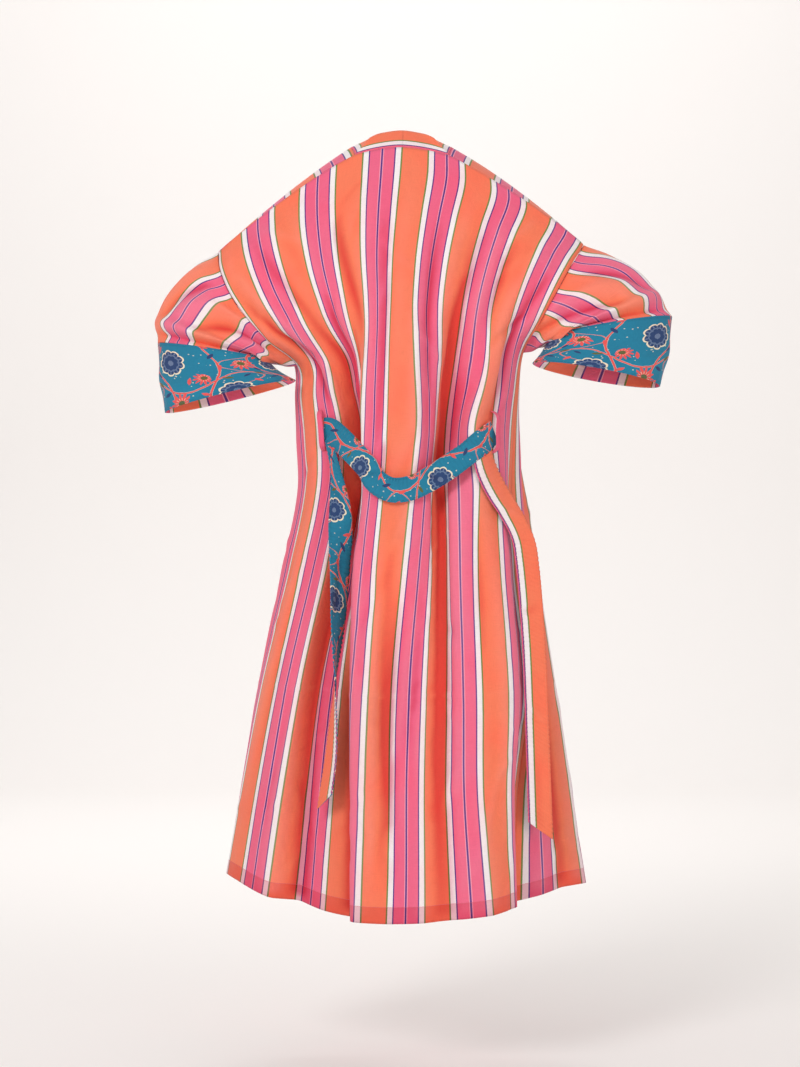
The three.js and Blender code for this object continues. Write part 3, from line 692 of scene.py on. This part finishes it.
def front_course_row(side, t, places):
    rows = LEFT_ROWS if side > 0 else RIGHT_ROWS
    hand = "left" if side > 0 else "right"
    seam_t = max(SHOULDER_DROP, t - FORWARD_SHOULDER)
    seam = columns(BACK_ROWS, "t", [hand + axis for axis in "XYZ"], seam_t)
    if t < UNDERARM + FORWARD_SHOULDER:
        seam[1] = column(rows, "t", "armY", t)
    middle = columns(rows, "t", ["sideX", "sideY", "sideZ"], t)
    edge = columns(rows, "t", ["edgeX", "edgeY", "edgeZ"], t)
    first = np.linalg.norm(middle - seam)
    split = first / (first + np.linalg.norm(edge - middle))
    share = np.linspace(0, 1, ROW_STEPS + 1)[:, None]
    course = (seam * (share - split) * (share - 1) / split
              + middle * share * (share - 1) / (split * (split - 1))
              + edge * share * (share - split) / (1 - split))
    return lay_row(course, FRONT_FOLDS, t, 0, FRONT_WIDTH, 1 if side > 0 else -1, places)


def shoulder_seam(side, places):
    reach = BACK_WIDTH / 2
    on_back = reach - places / FRONT_WIDTH * (reach - NECK_HALF_WIDTH)
    return np.stack([back_row(shoulder_line(s), np.array([side * s]))[0] for s in on_back])


seam_store = {}


def front_row(side, t, places):
    row = front_course_row(side, t, places)
    pull = 1 - smoothstep(t, 0, SHOULDER_BLEND)
    if pull > 0:
        key = (side, len(places), float(places[0]))
        if key not in seam_store:
            seam_store[key] = shoulder_seam(side, places) - front_course_row(side, 0, places)
        row = row + seam_store[key] * pull
    return row


FRONT_CREASES = [
    (20, 60, 60, 420, 14, -4.5), (70, 40, 110, 400, 15, 4), (130, 50, 170, 380, 13, -4.5),
    (200, 60, 215, 420, 14, 3.5), (30, 420, 26, 900, 12, 3.5), (80, 560, 74, 1180, 13, -4),
    (128, 460, 136, 1120, 13, 4), (182, 560, 188, 1200, 12, -4), (236, 300, 232, 900, 11, -3),
    (40, 1000, 36, 1250, 13, -3), (262, 931, 0, 931, 3.5, 0.7),
] + small_creases(5, 80, (10, 250), (60, 1240))
FRONT_LENGTH = BACK_LENGTH + FORWARD_SHOULDER
for hand, side, offset in (("left", 1, 85), ("right", -1, 10)):
    front_stripes = striped_cotton(f"striped_cotton_front_{hand}", hem_from=FRONT_LENGTH - HEM_DEPTH,
                                   offset=offset)
    across = np.linspace(0, FRONT_WIDTH, FRONT_NET[0] + 1)
    s, t = np.meshgrid(across, np.linspace(0, FRONT_LENGTH, FRONT_NET[1] + 1))
    points = np.stack([front_row(side, level, across) for level in t[:, 0]])
    outward = net_normals(points) * side
    points += outward * crease_depth(s, t, FRONT_CREASES)[:, :, None]
    raised = points + outward * STITCH_LIFT
    hem_line = line_down(raised, 1 - HEM_DEPTH / FRONT_LENGTH)
    stitches(f"front_{hand}_hem_stitches", [hem_line], pink_thread)
    piece = cloth_object(f"front_{hand}_cloth", points, s, t, front_stripes, flip=side < 0)
    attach(piece, "root")
    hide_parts(f"front_{hand}")

# Sleeves: two straight tubes of the striped cotton with the stripes running along the arm. They are
# sewn to the armholes and bend at the elbow, where the cloth folds in towards the armpit.
SLEEVE_NET = (120, 56)
SLEEVE_ROUND = 560
SLEEVE_LENGTH = 125
SLEEVE_REACH = (0.004, 0.996)
ARMHOLE_BLEND = 0.5
LEFT_SLEEVE = table("v outX outZ inX inZ half midY dip", [
    [0, 303, -160, 174, -354, 56, 14, 0],
    [0.25, 342, -187, 190, -355, 60, 16, 0],
    [0.5, 382, -236, 203, -352, 62, 20, 0],
    [0.75, 405, -281, 214, -348, 63, 24, 1],
    [1, 402, -318, 222, -344, 63, 27, 2],
])
RIGHT_SLEEVE = table("v outX outZ inX inZ half midY dip", [
    [0, -298, -148, -198, -332, 56, 14, 0],
    [0.25, -340, -168, -212, -330, 60, 16, 0],
    [0.5, -384, -201, -222, -324, 62, 20, 0],
    [0.75, -418, -236, -231, -316, 63, 24, 2],
    [1, -441, -274, -238, -307, 63, 27, 4],
])
SLEEVE_CREASES = [
    (4, 108, 276, 113, 7, -11), (6, 90, 272, 97, 8, 9.5), (40, 4, 176, 88, 10, -9),
    (92, 2, 226, 72, 12, 6), (200, 12, 244, 92, 12, -6), (256, 6, 268, 88, 13, 4),
    (330, 10, 352, 110, 14, -3.5), (396, 14, 428, 110, 14, 3.5), (476, 18, 452, 112, 13, -4.5),
    (524, 18, 500, 100, 13, 3.5),
] + small_creases(11, 26, (20, 540), (6, 90))


def ring_row(rows, turns, v):
    """One ring: turn 0 is under the arm, a quarter the back, a half the ridge of the arm."""
    names = ("outX", "outZ", "inX", "inZ", "half", "midY", "dip")
    out_x, out_z, in_x, in_z, half, middle, dip = columns(rows, "v", names, v)
    across = (1 - np.cos(turns * 2 * math.pi)) / 2
    depth = np.sin(turns * 2 * math.pi)
    return np.stack([
        in_x + (out_x - in_x) * across,
        middle + half * depth,
        in_z + (out_z - in_z) * across + dip * depth,
    ], axis=1)


def armhole(side, turns):
    points = []
    for turn in turns:
        if turn <= 0.5:
            level = UNDERARM + (SHOULDER_DROP - UNDERARM) * turn * 2
            points.append(back_row(level, np.array([side * BACK_WIDTH / 2]))[0])
        else:
            level = (UNDERARM + FORWARD_SHOULDER) * (turn * 2 - 1)
            points.append(front_row(side, level, np.array([0.0]))[0])
    return np.stack(points)


turns = np.arange(SLEEVE_NET[0]) / SLEEVE_NET[0]
for hand, side, rows, offset in (("left", 1, LEFT_SLEEVE, 58), ("right", -1, RIGHT_SLEEVE, 92)):
    sleeve_stripes = striped_cotton(f"striped_cotton_sleeve_{hand}", offset=offset)
    s, v = np.meshgrid(turns * SLEEVE_ROUND, np.linspace(*SLEEVE_REACH, SLEEVE_NET[1] + 1))
    t = v * SLEEVE_LENGTH
    points = np.stack([ring_row(rows, turns, level) for level in v[:, 0]])
    pull = armhole(side, turns) - ring_row(rows, turns, 0)
    points += pull[None] * (1 - smoothstep(v, 0, ARMHOLE_BLEND))[:, :, None]
    points += net_normals(points, closed=True) * side * crease_depth(s, t, SLEEVE_CREASES)[:, :, None]
    piece = cloth_object(f"sleeve_{hand}_cloth", points, s, t, sleeve_stripes, closed=True, flip=side < 0)
    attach(piece, "root")
    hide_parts(f"sleeve_{hand}")

# Cuffs: broad bands of teal floral cotton, turned up over the sleeve ends and topstitched, with the
# striped cotton inside. They stand open and hang a little lower at the back edge of the arm.
CUFF_NET = (120, 32)
CUFF_ROUND = 460
CUFF_DEPTH = 113
CUFF_THICKNESS = 1.6 * MM
LEFT_CUFF = table("v outX outZ inX inZ half midY dip", [
    [0, 402, -318, 222, -344, 63, 27, 2],
    [0.5, 397, -374, 204, -362, 61, 29, 3],
    [1, 390, -431, 176, -378, 58, 30, 4],
])
RIGHT_CUFF = table("v outX outZ inX inZ half midY dip", [
    [0, -441, -274, -238, -307, 63, 27, 4],
    [0.5, -434, -331, -228, -330, 61, 29, 6],
    [1, -421, -388, -212, -350, 58, 30, 7],
])
CUFF_CREASES = [
    (26, 66, 150, 34, 13, -3), (96, 104, 214, 66, 12, -2.6), (176, 14, 262, 92, 14, 3),
    (316, 20, 376, 100, 14, 3), (424, 92, 346, 30, 12, -3),
]
TEAL = (0.014, 0.21, 0.34, 1)
CORAL = (0.79, 0.1, 0.095, 1)
CREAM = (0.84, 0.76, 0.56, 1)
NAVY = (0.024, 0.06, 0.17, 1)
SLATE = (0.13, 0.2, 0.33, 1)
OLIVE = (0.12, 0.14, 0.05, 1)
PRINT_TILE = 150 * MM
# Shares of a motif's own size
BLOOM_LOBES, BLOOM_DENT = 9, 0.8
BLOOM_BODY, BLOOM_VEINS, BLOOM_HEART = 0.88, 0.84, 0.2
BLOOM_RING, RING_HALF_WIDTH = 0.6, 0.045
BLOOM_RAYS, RAY_THINNESS, RAY_START = 18.0, 0.55, 0.66
LOTUS_PETALS, PETAL_DENT = 12, 0.5
LOTUS_CUP, CUP_DEPTH = 0.7, 0.5
GAP_WIDTH, GAP_START, LOTUS_HEART = 0.22, 0.28, 0.27
LEAF_WIDTH = 0.36


def motif_group(name, outputs):
    """An empty shader group with a place, a turn and a size, which puts the cut in a motif's frame."""
    group = bpy.data.node_groups.new(name, "ShaderNodeTree")
    for socket, kind in (("Cut", "Vector"), ("Place", "Vector"), ("Turn", "Float"), ("Size", "Float")):
        group.interface.new_socket(socket, in_out="INPUT", socket_type="NodeSocket" + kind)
    for output in outputs:
        group.interface.new_socket(output, in_out="OUTPUT", socket_type="NodeSocketFloat")
    start = add(group, "NodeGroupInput").outputs
    half = PRINT_TILE / 2
    away = add(group, "ShaderNodeVectorMath", {0: start["Cut"], 1: start["Place"]}, operation="SUBTRACT")
    tile = {0: away.outputs[0], 1: (half, half, 1), 2: (-half, -half, -1)}
    near = add(group, "ShaderNodeVectorMath", tile, operation="WRAP").outputs[0]
    turn = {"Vector": near, "Angle": start["Turn"]}
    turned = add(group, "ShaderNodeVectorRotate", turn, rotation_type="Z_AXIS").outputs[0]
    size = add(group, "ShaderNodeCombineXYZ", {axis: start["Size"] for axis in range(3)}).outputs[0]
    unit = add(group, "ShaderNodeVectorMath", {0: turned, 1: size}, operation="DIVIDE").outputs[0]
    x, y, _ = add(group, "ShaderNodeSeparateXYZ", {0: unit}).outputs
    do = sums(group)
    radius = do("SQRT", do("ADD", do("MULTIPLY", x, x), do("MULTIPLY", y, y)))
    return group, do, x, y, radius, do("ARCTAN2", x, y)


def give(group, *results):
    """Leads a motif's masks, in order, to the outputs of its group."""
    add(group, "NodeGroupOutput", dict(enumerate(results)))
    return group


def lobed(do, bearing, lobes, low, high, power):
    """A radius that swells to each lobe: sharp dents for a small power, pointed petals for a large."""
    wave = do("ABSOLUTE", do("COSINE", do("MULTIPLY", bearing, lobes / 2)))
    return do("ADD", do("MULTIPLY", do("POWER", wave, power), high - low), low)


def bloom_group():
    """A round flower with a scalloped edge: its rim, its dark body and the lines within it."""
    group, do, x, y, radius, bearing = motif_group("print_bloom", ["Rim", "Body", "Veins"])
    share = do("DIVIDE", radius, lobed(do, bearing, BLOOM_LOBES, BLOOM_DENT, 1.0, 0.5))
    ring = do("LESS_THAN", do("ABSOLUTE", do("SUBTRACT", share, BLOOM_RING)), RING_HALF_WIDTH)
    rays = do("GREATER_THAN", do("COSINE", do("MULTIPLY", bearing, BLOOM_RAYS)), RAY_THINNESS)
    outer = do("MULTIPLY", rays, do("GREATER_THAN", share, RAY_START))
    heart = do("LESS_THAN", share, BLOOM_HEART)
    lines = do("MAXIMUM", do("MAXIMUM", ring, outer), heart)
    veins = do("MULTIPLY", lines, do("LESS_THAN", share, BLOOM_VEINS))
    return give(group, do("LESS_THAN", share, 1.0), do("LESS_THAN", share, BLOOM_BODY), veins)


def lotus_group():
    """A fan of pointed petals over a cup: its petals, the pale gaps between them and its heart."""
    group, do, x, y, radius, bearing = motif_group("print_lotus", ["Petals", "Gaps", "Heart"])
    share = do("DIVIDE", radius, lobed(do, bearing, LOTUS_PETALS, PETAL_DENT, 1.0, 1.6))
    cup = do("SUBTRACT", do("MULTIPLY", do("MULTIPLY", x, x), LOTUS_CUP), CUP_DEPTH)
    petals = do("MULTIPLY", do("LESS_THAN", share, 1.0), do("GREATER_THAN", y, cup))
    seam = do("LESS_THAN", lobed(do, bearing, LOTUS_PETALS, 0.0, 1.0, 1.0), GAP_WIDTH)
    gaps = do("MULTIPLY", do("MULTIPLY", seam, petals), do("GREATER_THAN", radius, GAP_START))
    return give(group, petals, gaps, do("LESS_THAN", radius, LOTUS_HEART))


def leaf_group():
    """A pointed drop along its own Y."""
    group, do, x, y, radius, bearing = motif_group("print_leaf", ["Leaf"])
    reach = do("MULTIPLY", do("SUBTRACT", 1.0, do("MULTIPLY", y, y)), LEAF_WIDTH)
    return give(group, do("LESS_THAN", do("ABSOLUTE", x), reach))


def place_motif(tree, group, cut, x, y, turn, size):
    values = {"Cut": cut, "Place": (x * MM, y * MM, 0), "Turn": math.radians(turn), "Size": size * MM}
    return add(tree, "ShaderNodeGroup", values, node_tree=group).outputs


def branch(tree, along, across, middle, sway, turns, phase, width):
    """A trailing stem that winds along the cloth and meets itself at the tile's edge."""
    do = sums(tree)
    wave = do("SINE", do("ADD", do("MULTIPLY", along, turns * 2 * math.pi / PRINT_TILE), phase))
    away = do("SUBTRACT", across, do("ADD", do("MULTIPLY", wave, sway * MM), middle * MM))
    wrapped = do("WRAP", away, PRINT_TILE / 2, -PRINT_TILE / 2)
    return do("LESS_THAN", do("ABSOLUTE", wrapped), width * MM)


# Flowers and leaves on the print's repeat, in millimetres: x, y, turn in degrees, size
BLOOMS = [(30, 38, 10, 24), (106, 114, 40, 21.5)]
LOTUSES = [(82, 40, -20, 20), (24, 112, 150, 18.5), (136, 74, 60, 15)]
LEAVES = [
    (57, 14, 40, 8.5, CORAL), (65, 72, -60, 8, OLIVE), (6, 76, 20, 7.5, CORAL), (48, 92, 80, 8.5, NAVY),
    (75, 98, -30, 7.5, CORAL), (120, 24, 30, 8.5, NAVY), (140, 108, -50, 7, CORAL),
    (55, 130, 15, 8, CORAL), (108, 80, 100, 7, OLIVE), (4, 144, -20, 7.5, NAVY),
    (88, 143, 65, 8, CORAL), (127, 3, -75, 7.5, CORAL),
    (62, 56, 130, 7, NAVY), (44, 116, -45, 7.5, CORAL), (112, 52, 10, 7, CORAL), (84, 78, 50, 7, NAVY),
]
# Stems: whether one runs down the cloth, then its middle, sway, turns on the tile, phase and half width
STEMS = [
    (True, 52, 19, 1, 0.4, 1.7), (True, 125, 12, 1, 2.6, 1.4), (True, 88, 26, 2, 4.1, 1.0),
    (False, 82, 15, 1, 1.2, 1.2),
]
STEM_RIM = 0.55
DRAWING_WOBBLE = 3.2 * MM
DRAWING_SCALE = 90.0
DOT_SCALE = 120.0
DOT_SIZE = 0.13
DOT_SHARE = 0.75


def floral_cotton(name):
    """Teal ground with trailing stems, drop leaves, fan flowers and round scalloped flowers."""
    material, tree, shader = new_material(name)
    do = sums(tree)
    cut, _, _ = cut_coordinates(tree)
    wobble = {
        0: noise(tree, cut, DRAWING_SCALE)["Color"],
        1: (DRAWING_WOBBLE, DRAWING_WOBBLE, 0),
        2: cut,
    }
    drawn = add(tree, "ShaderNodeVectorMath", wobble, operation="MULTIPLY_ADD").outputs[0]
    across, along, _ = add(tree, "ShaderNodeSeparateXYZ", {0: drawn}).outputs
    spots = add(tree, "ShaderNodeTexVoronoi", {"Vector": cut, "Scale": DOT_SCALE}).outputs["Distance"]
    dots = do("LESS_THAN", spots, DOT_SIZE)
    colour = mix_colour(tree, do("MULTIPLY", dots, DOT_SHARE), TEAL, CREAM)
    for rim, paint, amount in ((STEM_RIM, CREAM, 0.5), (0.0, CORAL, 1.0)):
        for down, *shape, width in STEMS:
            run, side = (along, across) if down else (across, along)
            line = branch(tree, run, side, *shape, width + rim)
            colour = mix_colour(tree, do("MULTIPLY", line, amount), colour, paint)
    leaf = leaf_group()
    for *place, paint in LEAVES:
        colour = mix_colour(tree, place_motif(tree, leaf, drawn, *place)["Leaf"], colour, paint)
    for motif, places, paints in (
        (lotus_group(), LOTUSES, (("Petals", CORAL), ("Gaps", CREAM), ("Heart", OLIVE))),
        (bloom_group(), BLOOMS, (("Rim", CREAM), ("Body", NAVY), ("Veins", SLATE))),
    ):
        for place in places:
            masks = place_motif(tree, motif, drawn, *place)
            for mask, paint in paints:
                colour = mix_colour(tree, masks[mask], colour, paint)
    weave_finish(tree, shader, cut, colour, pale=0.0)
    return material


floral = floral_cotton("floral_cotton")
cuff_inside = sleeve_stripes
teal_thread = cotton_thread("teal_thread", (0.02, 0.15, 0.24, 1))
CUFF_STITCHES = (0.035, 0.965)
turns = np.arange(CUFF_NET[0]) / CUFF_NET[0]
for hand, side, rows in (("left", 1, LEFT_CUFF), ("right", -1, RIGHT_CUFF)):
    s, v = np.meshgrid(turns * CUFF_ROUND, np.linspace(0, 1, CUFF_NET[1] + 1))
    t = v * CUFF_DEPTH
    points = np.stack([ring_row(rows, turns, level) for level in v[:, 0]])
    points += net_normals(points, closed=True) * side * crease_depth(s, t, CUFF_CREASES)[:, :, None]
    raised = points + net_normals(points, closed=True) * side * STITCH_LIFT
    lines = [line_down(raised, level) for level in CUFF_STITCHES]
    lines = [np.concatenate([line, line[:1]]) for line in lines]
    stitches(f"cuff_{hand}_stitches", lines, teal_thread)
    piece = cloth_object(f"cuff_{hand}_cloth", points, s, t, floral, closed=True, flip=side < 0,
                         thickness=CUFF_THICKNESS, inside=cuff_inside)
    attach(piece, "root")
    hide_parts(f"cuff_{hand}")

# Neck band: one long strip of the striped cotton, folded double and cut so that the orange stripe
# lies at its free edge and the pink one at the seam. It is joined at the centre back and topstitched.
BAND_WIDTH = 40
BAND_NET = (12, 300)
NECK_SHARE = 0.1
BAND_THICKNESS = 1.4 * MM
BAND_STRIPE = 58.5
BAND_STITCHES = (0.07, 0.93)
SEAM_GAP = 0.3
NECK_LEAN = table("along x y z", [
    [0, 0, -0.62, 0.78],
    [0.5, -0.2, -0.6, 0.78],
    [1, -0.6, -0.3, 0.74],
])
FRONT_LEAN = table("t x y z", [
    [0, -0.6, -0.3, 0.74],
    [26, -0.8, -0.22, 0.46],
    [60, -0.88, -0.08, 0.42],
    [160, -0.97, -0.12, 0.2],
    [400, -0.99, -0.12, 0],
    [1288, -0.99, -0.1, 0],
])
band_stripes = striped_cotton("striped_cotton_band")
for hand, side in (("left", 1), ("right", -1)):
    points = []
    lengths = []
    for v in np.linspace(0, 1, BAND_NET[1] + 1):
        if v < NECK_SHARE:
            along = v / NECK_SHARE
            seam = back_row(0, np.array([side * NECK_HALF_WIDTH * along]))[0]
            lean = columns(NECK_LEAN, "along", "xyz", along)
            lengths.append(along * NECK_HALF_WIDTH)
        else:
            down = (v - NECK_SHARE) / (1 - NECK_SHARE) * FRONT_LENGTH
            seam = front_row(side, down, np.array([float(FRONT_WIDTH)]))[0]
            lean = columns(FRONT_LEAN, "t", "xyz", down)
            lengths.append(NECK_HALF_WIDTH + down)
        lean = lean * (side, 1, 1)
        lean /= np.linalg.norm(lean)
        points.append(seam + np.linspace(SEAM_GAP, BAND_WIDTH, BAND_NET[0] + 1)[:, None] * lean)
    points = np.stack(points)
    s, t = np.meshgrid(np.linspace(0, BAND_WIDTH, BAND_NET[0] + 1) - BAND_STRIPE, lengths)
    raised = points + net_normals(points) * side * STITCH_LIFT
    lines = [line_across(raised, level) for level in BAND_STITCHES]
    stitches(f"collar_{hand}_stitches", lines, orange_thread)
    piece = cloth_object(f"collar_{hand}_cloth", points, s, t, band_stripes, flip=side < 0,
                         thickness=BAND_THICKNESS)
    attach(piece, "root")
    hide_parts(f"collar_{hand}")

# Belt: one loose reversible strip, floral on one side and striped on the other, held by a small
# striped loop at each side. It sags behind the waist and its two ends hang with slanted tips. Close
# rows of stitches pucker its edges.
BELT_WIDTH = 40
BELT_NET = (14, 340)
BELT_THICKNESS = 1.2 * MM
BELT_STRIPE = -16
BELT_STITCHES = (0.08, 0.92)
PUCKER_DEPTH = 0.75
PUCKER_PITCH = 7.4
PUCKER_SLANT = 4
PUCKER_MIDDLE = 0.35
PUCKER_SWELL = 23
BELT_CREASES = {
    "belt_back": [
        (-56, 120, -16, 150, 7, -2.5), (-56, 262, -16, 246, 6, -3), (-16, 330, -56, 350, 7, 2.2),
        (-56, 420, -16, 450, 8, -2.4), (-16, 520, -56, 540, 8, 2),
    ],
    "belt_tail_left": [
        (-56, 60, -20, 110, 8, -2.4), (-30, 170, -46, 300, 7, -3), (-56, 380, -20, 420, 8, 2),
    ],
    "belt_tail_right": [
        (-56, 80, -16, 120, 8, 2.4), (-16, 250, -56, 280, 8, -2.4), (-56, 420, -16, 450, 8, 2),
        (-40, 500, -36, 640, 9, -1.6),
    ],
}
BELT_BACK = table("along s t clear", [
    [0, 262, 462, 8],
    [0.08, 238, 466, 14],
    [0.25, 44, 526, 10],
    [0.38, 14, 554, 12],
    [0.52, -22, 569, 12],
    [0.66, -56, 558, 14],
    [0.87, -204, 508, 13],
    [1, -250, 470, 9.5],
])
LEFT_TAIL = table("along x y z face", [
    [0, 134, 66, -486, 76],
    [0.19, 104, 70, -598, 92],
    [0.33, 102, 80, -680, 126],
    [0.47, 104, 92, -762, 144],
    [0.61, 108, 104, -842, 172],
    [0.71, 110, 110, -902, 190],
    [0.85, 115, 116, -984, 208],
    [1, 127, 122, -1072, 212],
])
RIGHT_TAIL = table("along x y z face", [
    [0, -166, 86, -490, 127],
    [0.22, -196, 84, -640, 110],
    [0.5, -210, 106, -800, 107],
    [0.75, -216, 114, -960, 104],
    [1, -221, 120, -1120, 101],
])
TAIL_SLANT = 0.045
TAIL_BLEND = 0.25
TAIL_START = 0.09
TAIL_SHARE = 0.09
TAIL_GAP = 0.6
COURSE_STEP = 0.004
FACING_STEP = 3.0


def ribbon(rows, u, along):
    """A point of the belt: u across it, at a share of the course of its middle."""
    before = columns(rows, "along", "xyz", max(along - COURSE_STEP, 0))
    after = columns(rows, "along", "xyz", min(along + COURSE_STEP, 1))
    angle = math.radians(column(rows, "along", "face", along))
    face = np.array([math.cos(angle), math.sin(angle), 0])
    across = np.cross(after - before, face)
    across /= np.linalg.norm(across)
    return columns(rows, "along", "xyz", along) + (u - 0.5) * BELT_WIDTH * across


def back_facing(place_s, place_t):
    """The way the back panel faces at one place of its cut."""
    ends = np.array([place_s - FACING_STEP, place_s + FACING_STEP])
    run = np.diff(back_row(place_t, ends), axis=0)[0]
    facing = np.array([-run[1], run[0], 0])
    return facing / np.linalg.norm(facing)


belt_rows = []
for row in BELT_BACK:
    facing = back_facing(row["s"], row["t"])
    place = back_row(row["t"], np.array([float(row["s"])]))[0] + facing * row["clear"]
    face = math.degrees(math.atan2(facing[1], facing[0]))
    belt_rows.append(dict(along=row["along"], x=place[0], y=place[1], z=place[2], face=face))


def tail_point(rows, start, u, v):
    pull = 1 - smoothstep(v, 0, TAIL_BLEND)
    root = ribbon(belt_rows, 1, start + TAIL_SHARE * (0.5 - u))
    root[2] -= TAIL_GAP
    return ribbon(rows, u, v * (1 - TAIL_SLANT * u)) + (root - ribbon(rows, u, 0)) * pull


belt_shapes = [
    ("belt_back", lambda u, v: ribbon(belt_rows, u, v)),
    ("belt_tail_left", lambda u, v: tail_point(LEFT_TAIL, TAIL_START, u, v)),
    ("belt_tail_right", lambda u, v: tail_point(RIGHT_TAIL, 1 - TAIL_START, u, v)),
]
belt_stripes = striped_cotton("striped_cotton_belt")
across = np.linspace(0, 1, BELT_NET[0] + 1)
for name, shape in belt_shapes:
    points = np.array([[shape(u, v) for u in across] for v in np.linspace(0, 1, BELT_NET[1] + 1)])
    run = np.linalg.norm(np.diff(points[:, BELT_NET[0] // 2], axis=0), axis=1)
    down = np.concatenate([[0], np.cumsum(run)])
    s, t = np.meshgrid(BELT_STRIPE - across * BELT_WIDTH, down)
    normal = net_normals(points)
    near_edge = np.abs(2 * across - 1)[None, :] ** 3
    waves = down[:, None] * 2 * math.pi / PUCKER_PITCH + PUCKER_SLANT * across[None, :]
    pucker = PUCKER_DEPTH * np.sin(waves) * (PUCKER_MIDDLE + (1 - PUCKER_MIDDLE) * near_edge)
    pucker = pucker * (1 + 0.5 * np.sin(down[:, None] / PUCKER_SWELL))
    points = points + normal * (pucker + crease_depth(s, t, BELT_CREASES[name]))[:, :, None]
    raised = points + normal * STITCH_LIFT
    lines = [line_across(raised, level) for level in BELT_STITCHES]
    turned = name == "belt_tail_right"
    outer, inner = (belt_stripes, floral) if turned else (floral, belt_stripes)
    stitches(f"{name}_stitches", lines, orange_thread if turned else teal_thread)
    piece = cloth_object(f"{name}_cloth", points, s, t, outer, thickness=BELT_THICKNESS, inside=inner)
    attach(piece, "root")
    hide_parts(name)

# Belt loops: a narrow strip of the striped cotton at each side of the back. Its two ends are sewn to
# the panel above and below the belt, and its middle stands off to let the belt through.
LOOP_WIDTH = 12
LOOP_HEIGHT = 72
LOOP_REACH = 16
LOOP_SEAT = 1.5
LOOP_NET = (4, 40)
LOOP_STRIPE = -90
LOOP_THICKNESS = 1.0 * MM
for hand, row in (("left", BELT_BACK[0]), ("right", BELT_BACK[-1])):
    facing = back_facing(row["s"], row["t"])
    down = np.linspace(-1, 1, LOOP_NET[1] + 1)
    places = row["s"] + np.linspace(-0.5, 0.5, LOOP_NET[0] + 1) * LOOP_WIDTH
    stand = LOOP_SEAT + LOOP_REACH * (1 - down ** 6)
    points = np.stack([back_row(row["t"] + w * LOOP_HEIGHT / 2, places) for w in down])
    points += facing * stand[:, None, None]
    run = np.linalg.norm(np.diff(points[:, LOOP_NET[0] // 2], axis=0), axis=1)
    along = np.concatenate([[0], np.cumsum(run)])
    s, t = np.meshgrid(LOOP_STRIPE + np.linspace(0, LOOP_WIDTH, LOOP_NET[0] + 1), along)
    piece = cloth_object(f"belt_loop_{hand}_cloth", points, s, t, band_stripes, thickness=LOOP_THICKNESS)
    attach(piece, "root")
    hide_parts(f"belt_loop_{hand}")
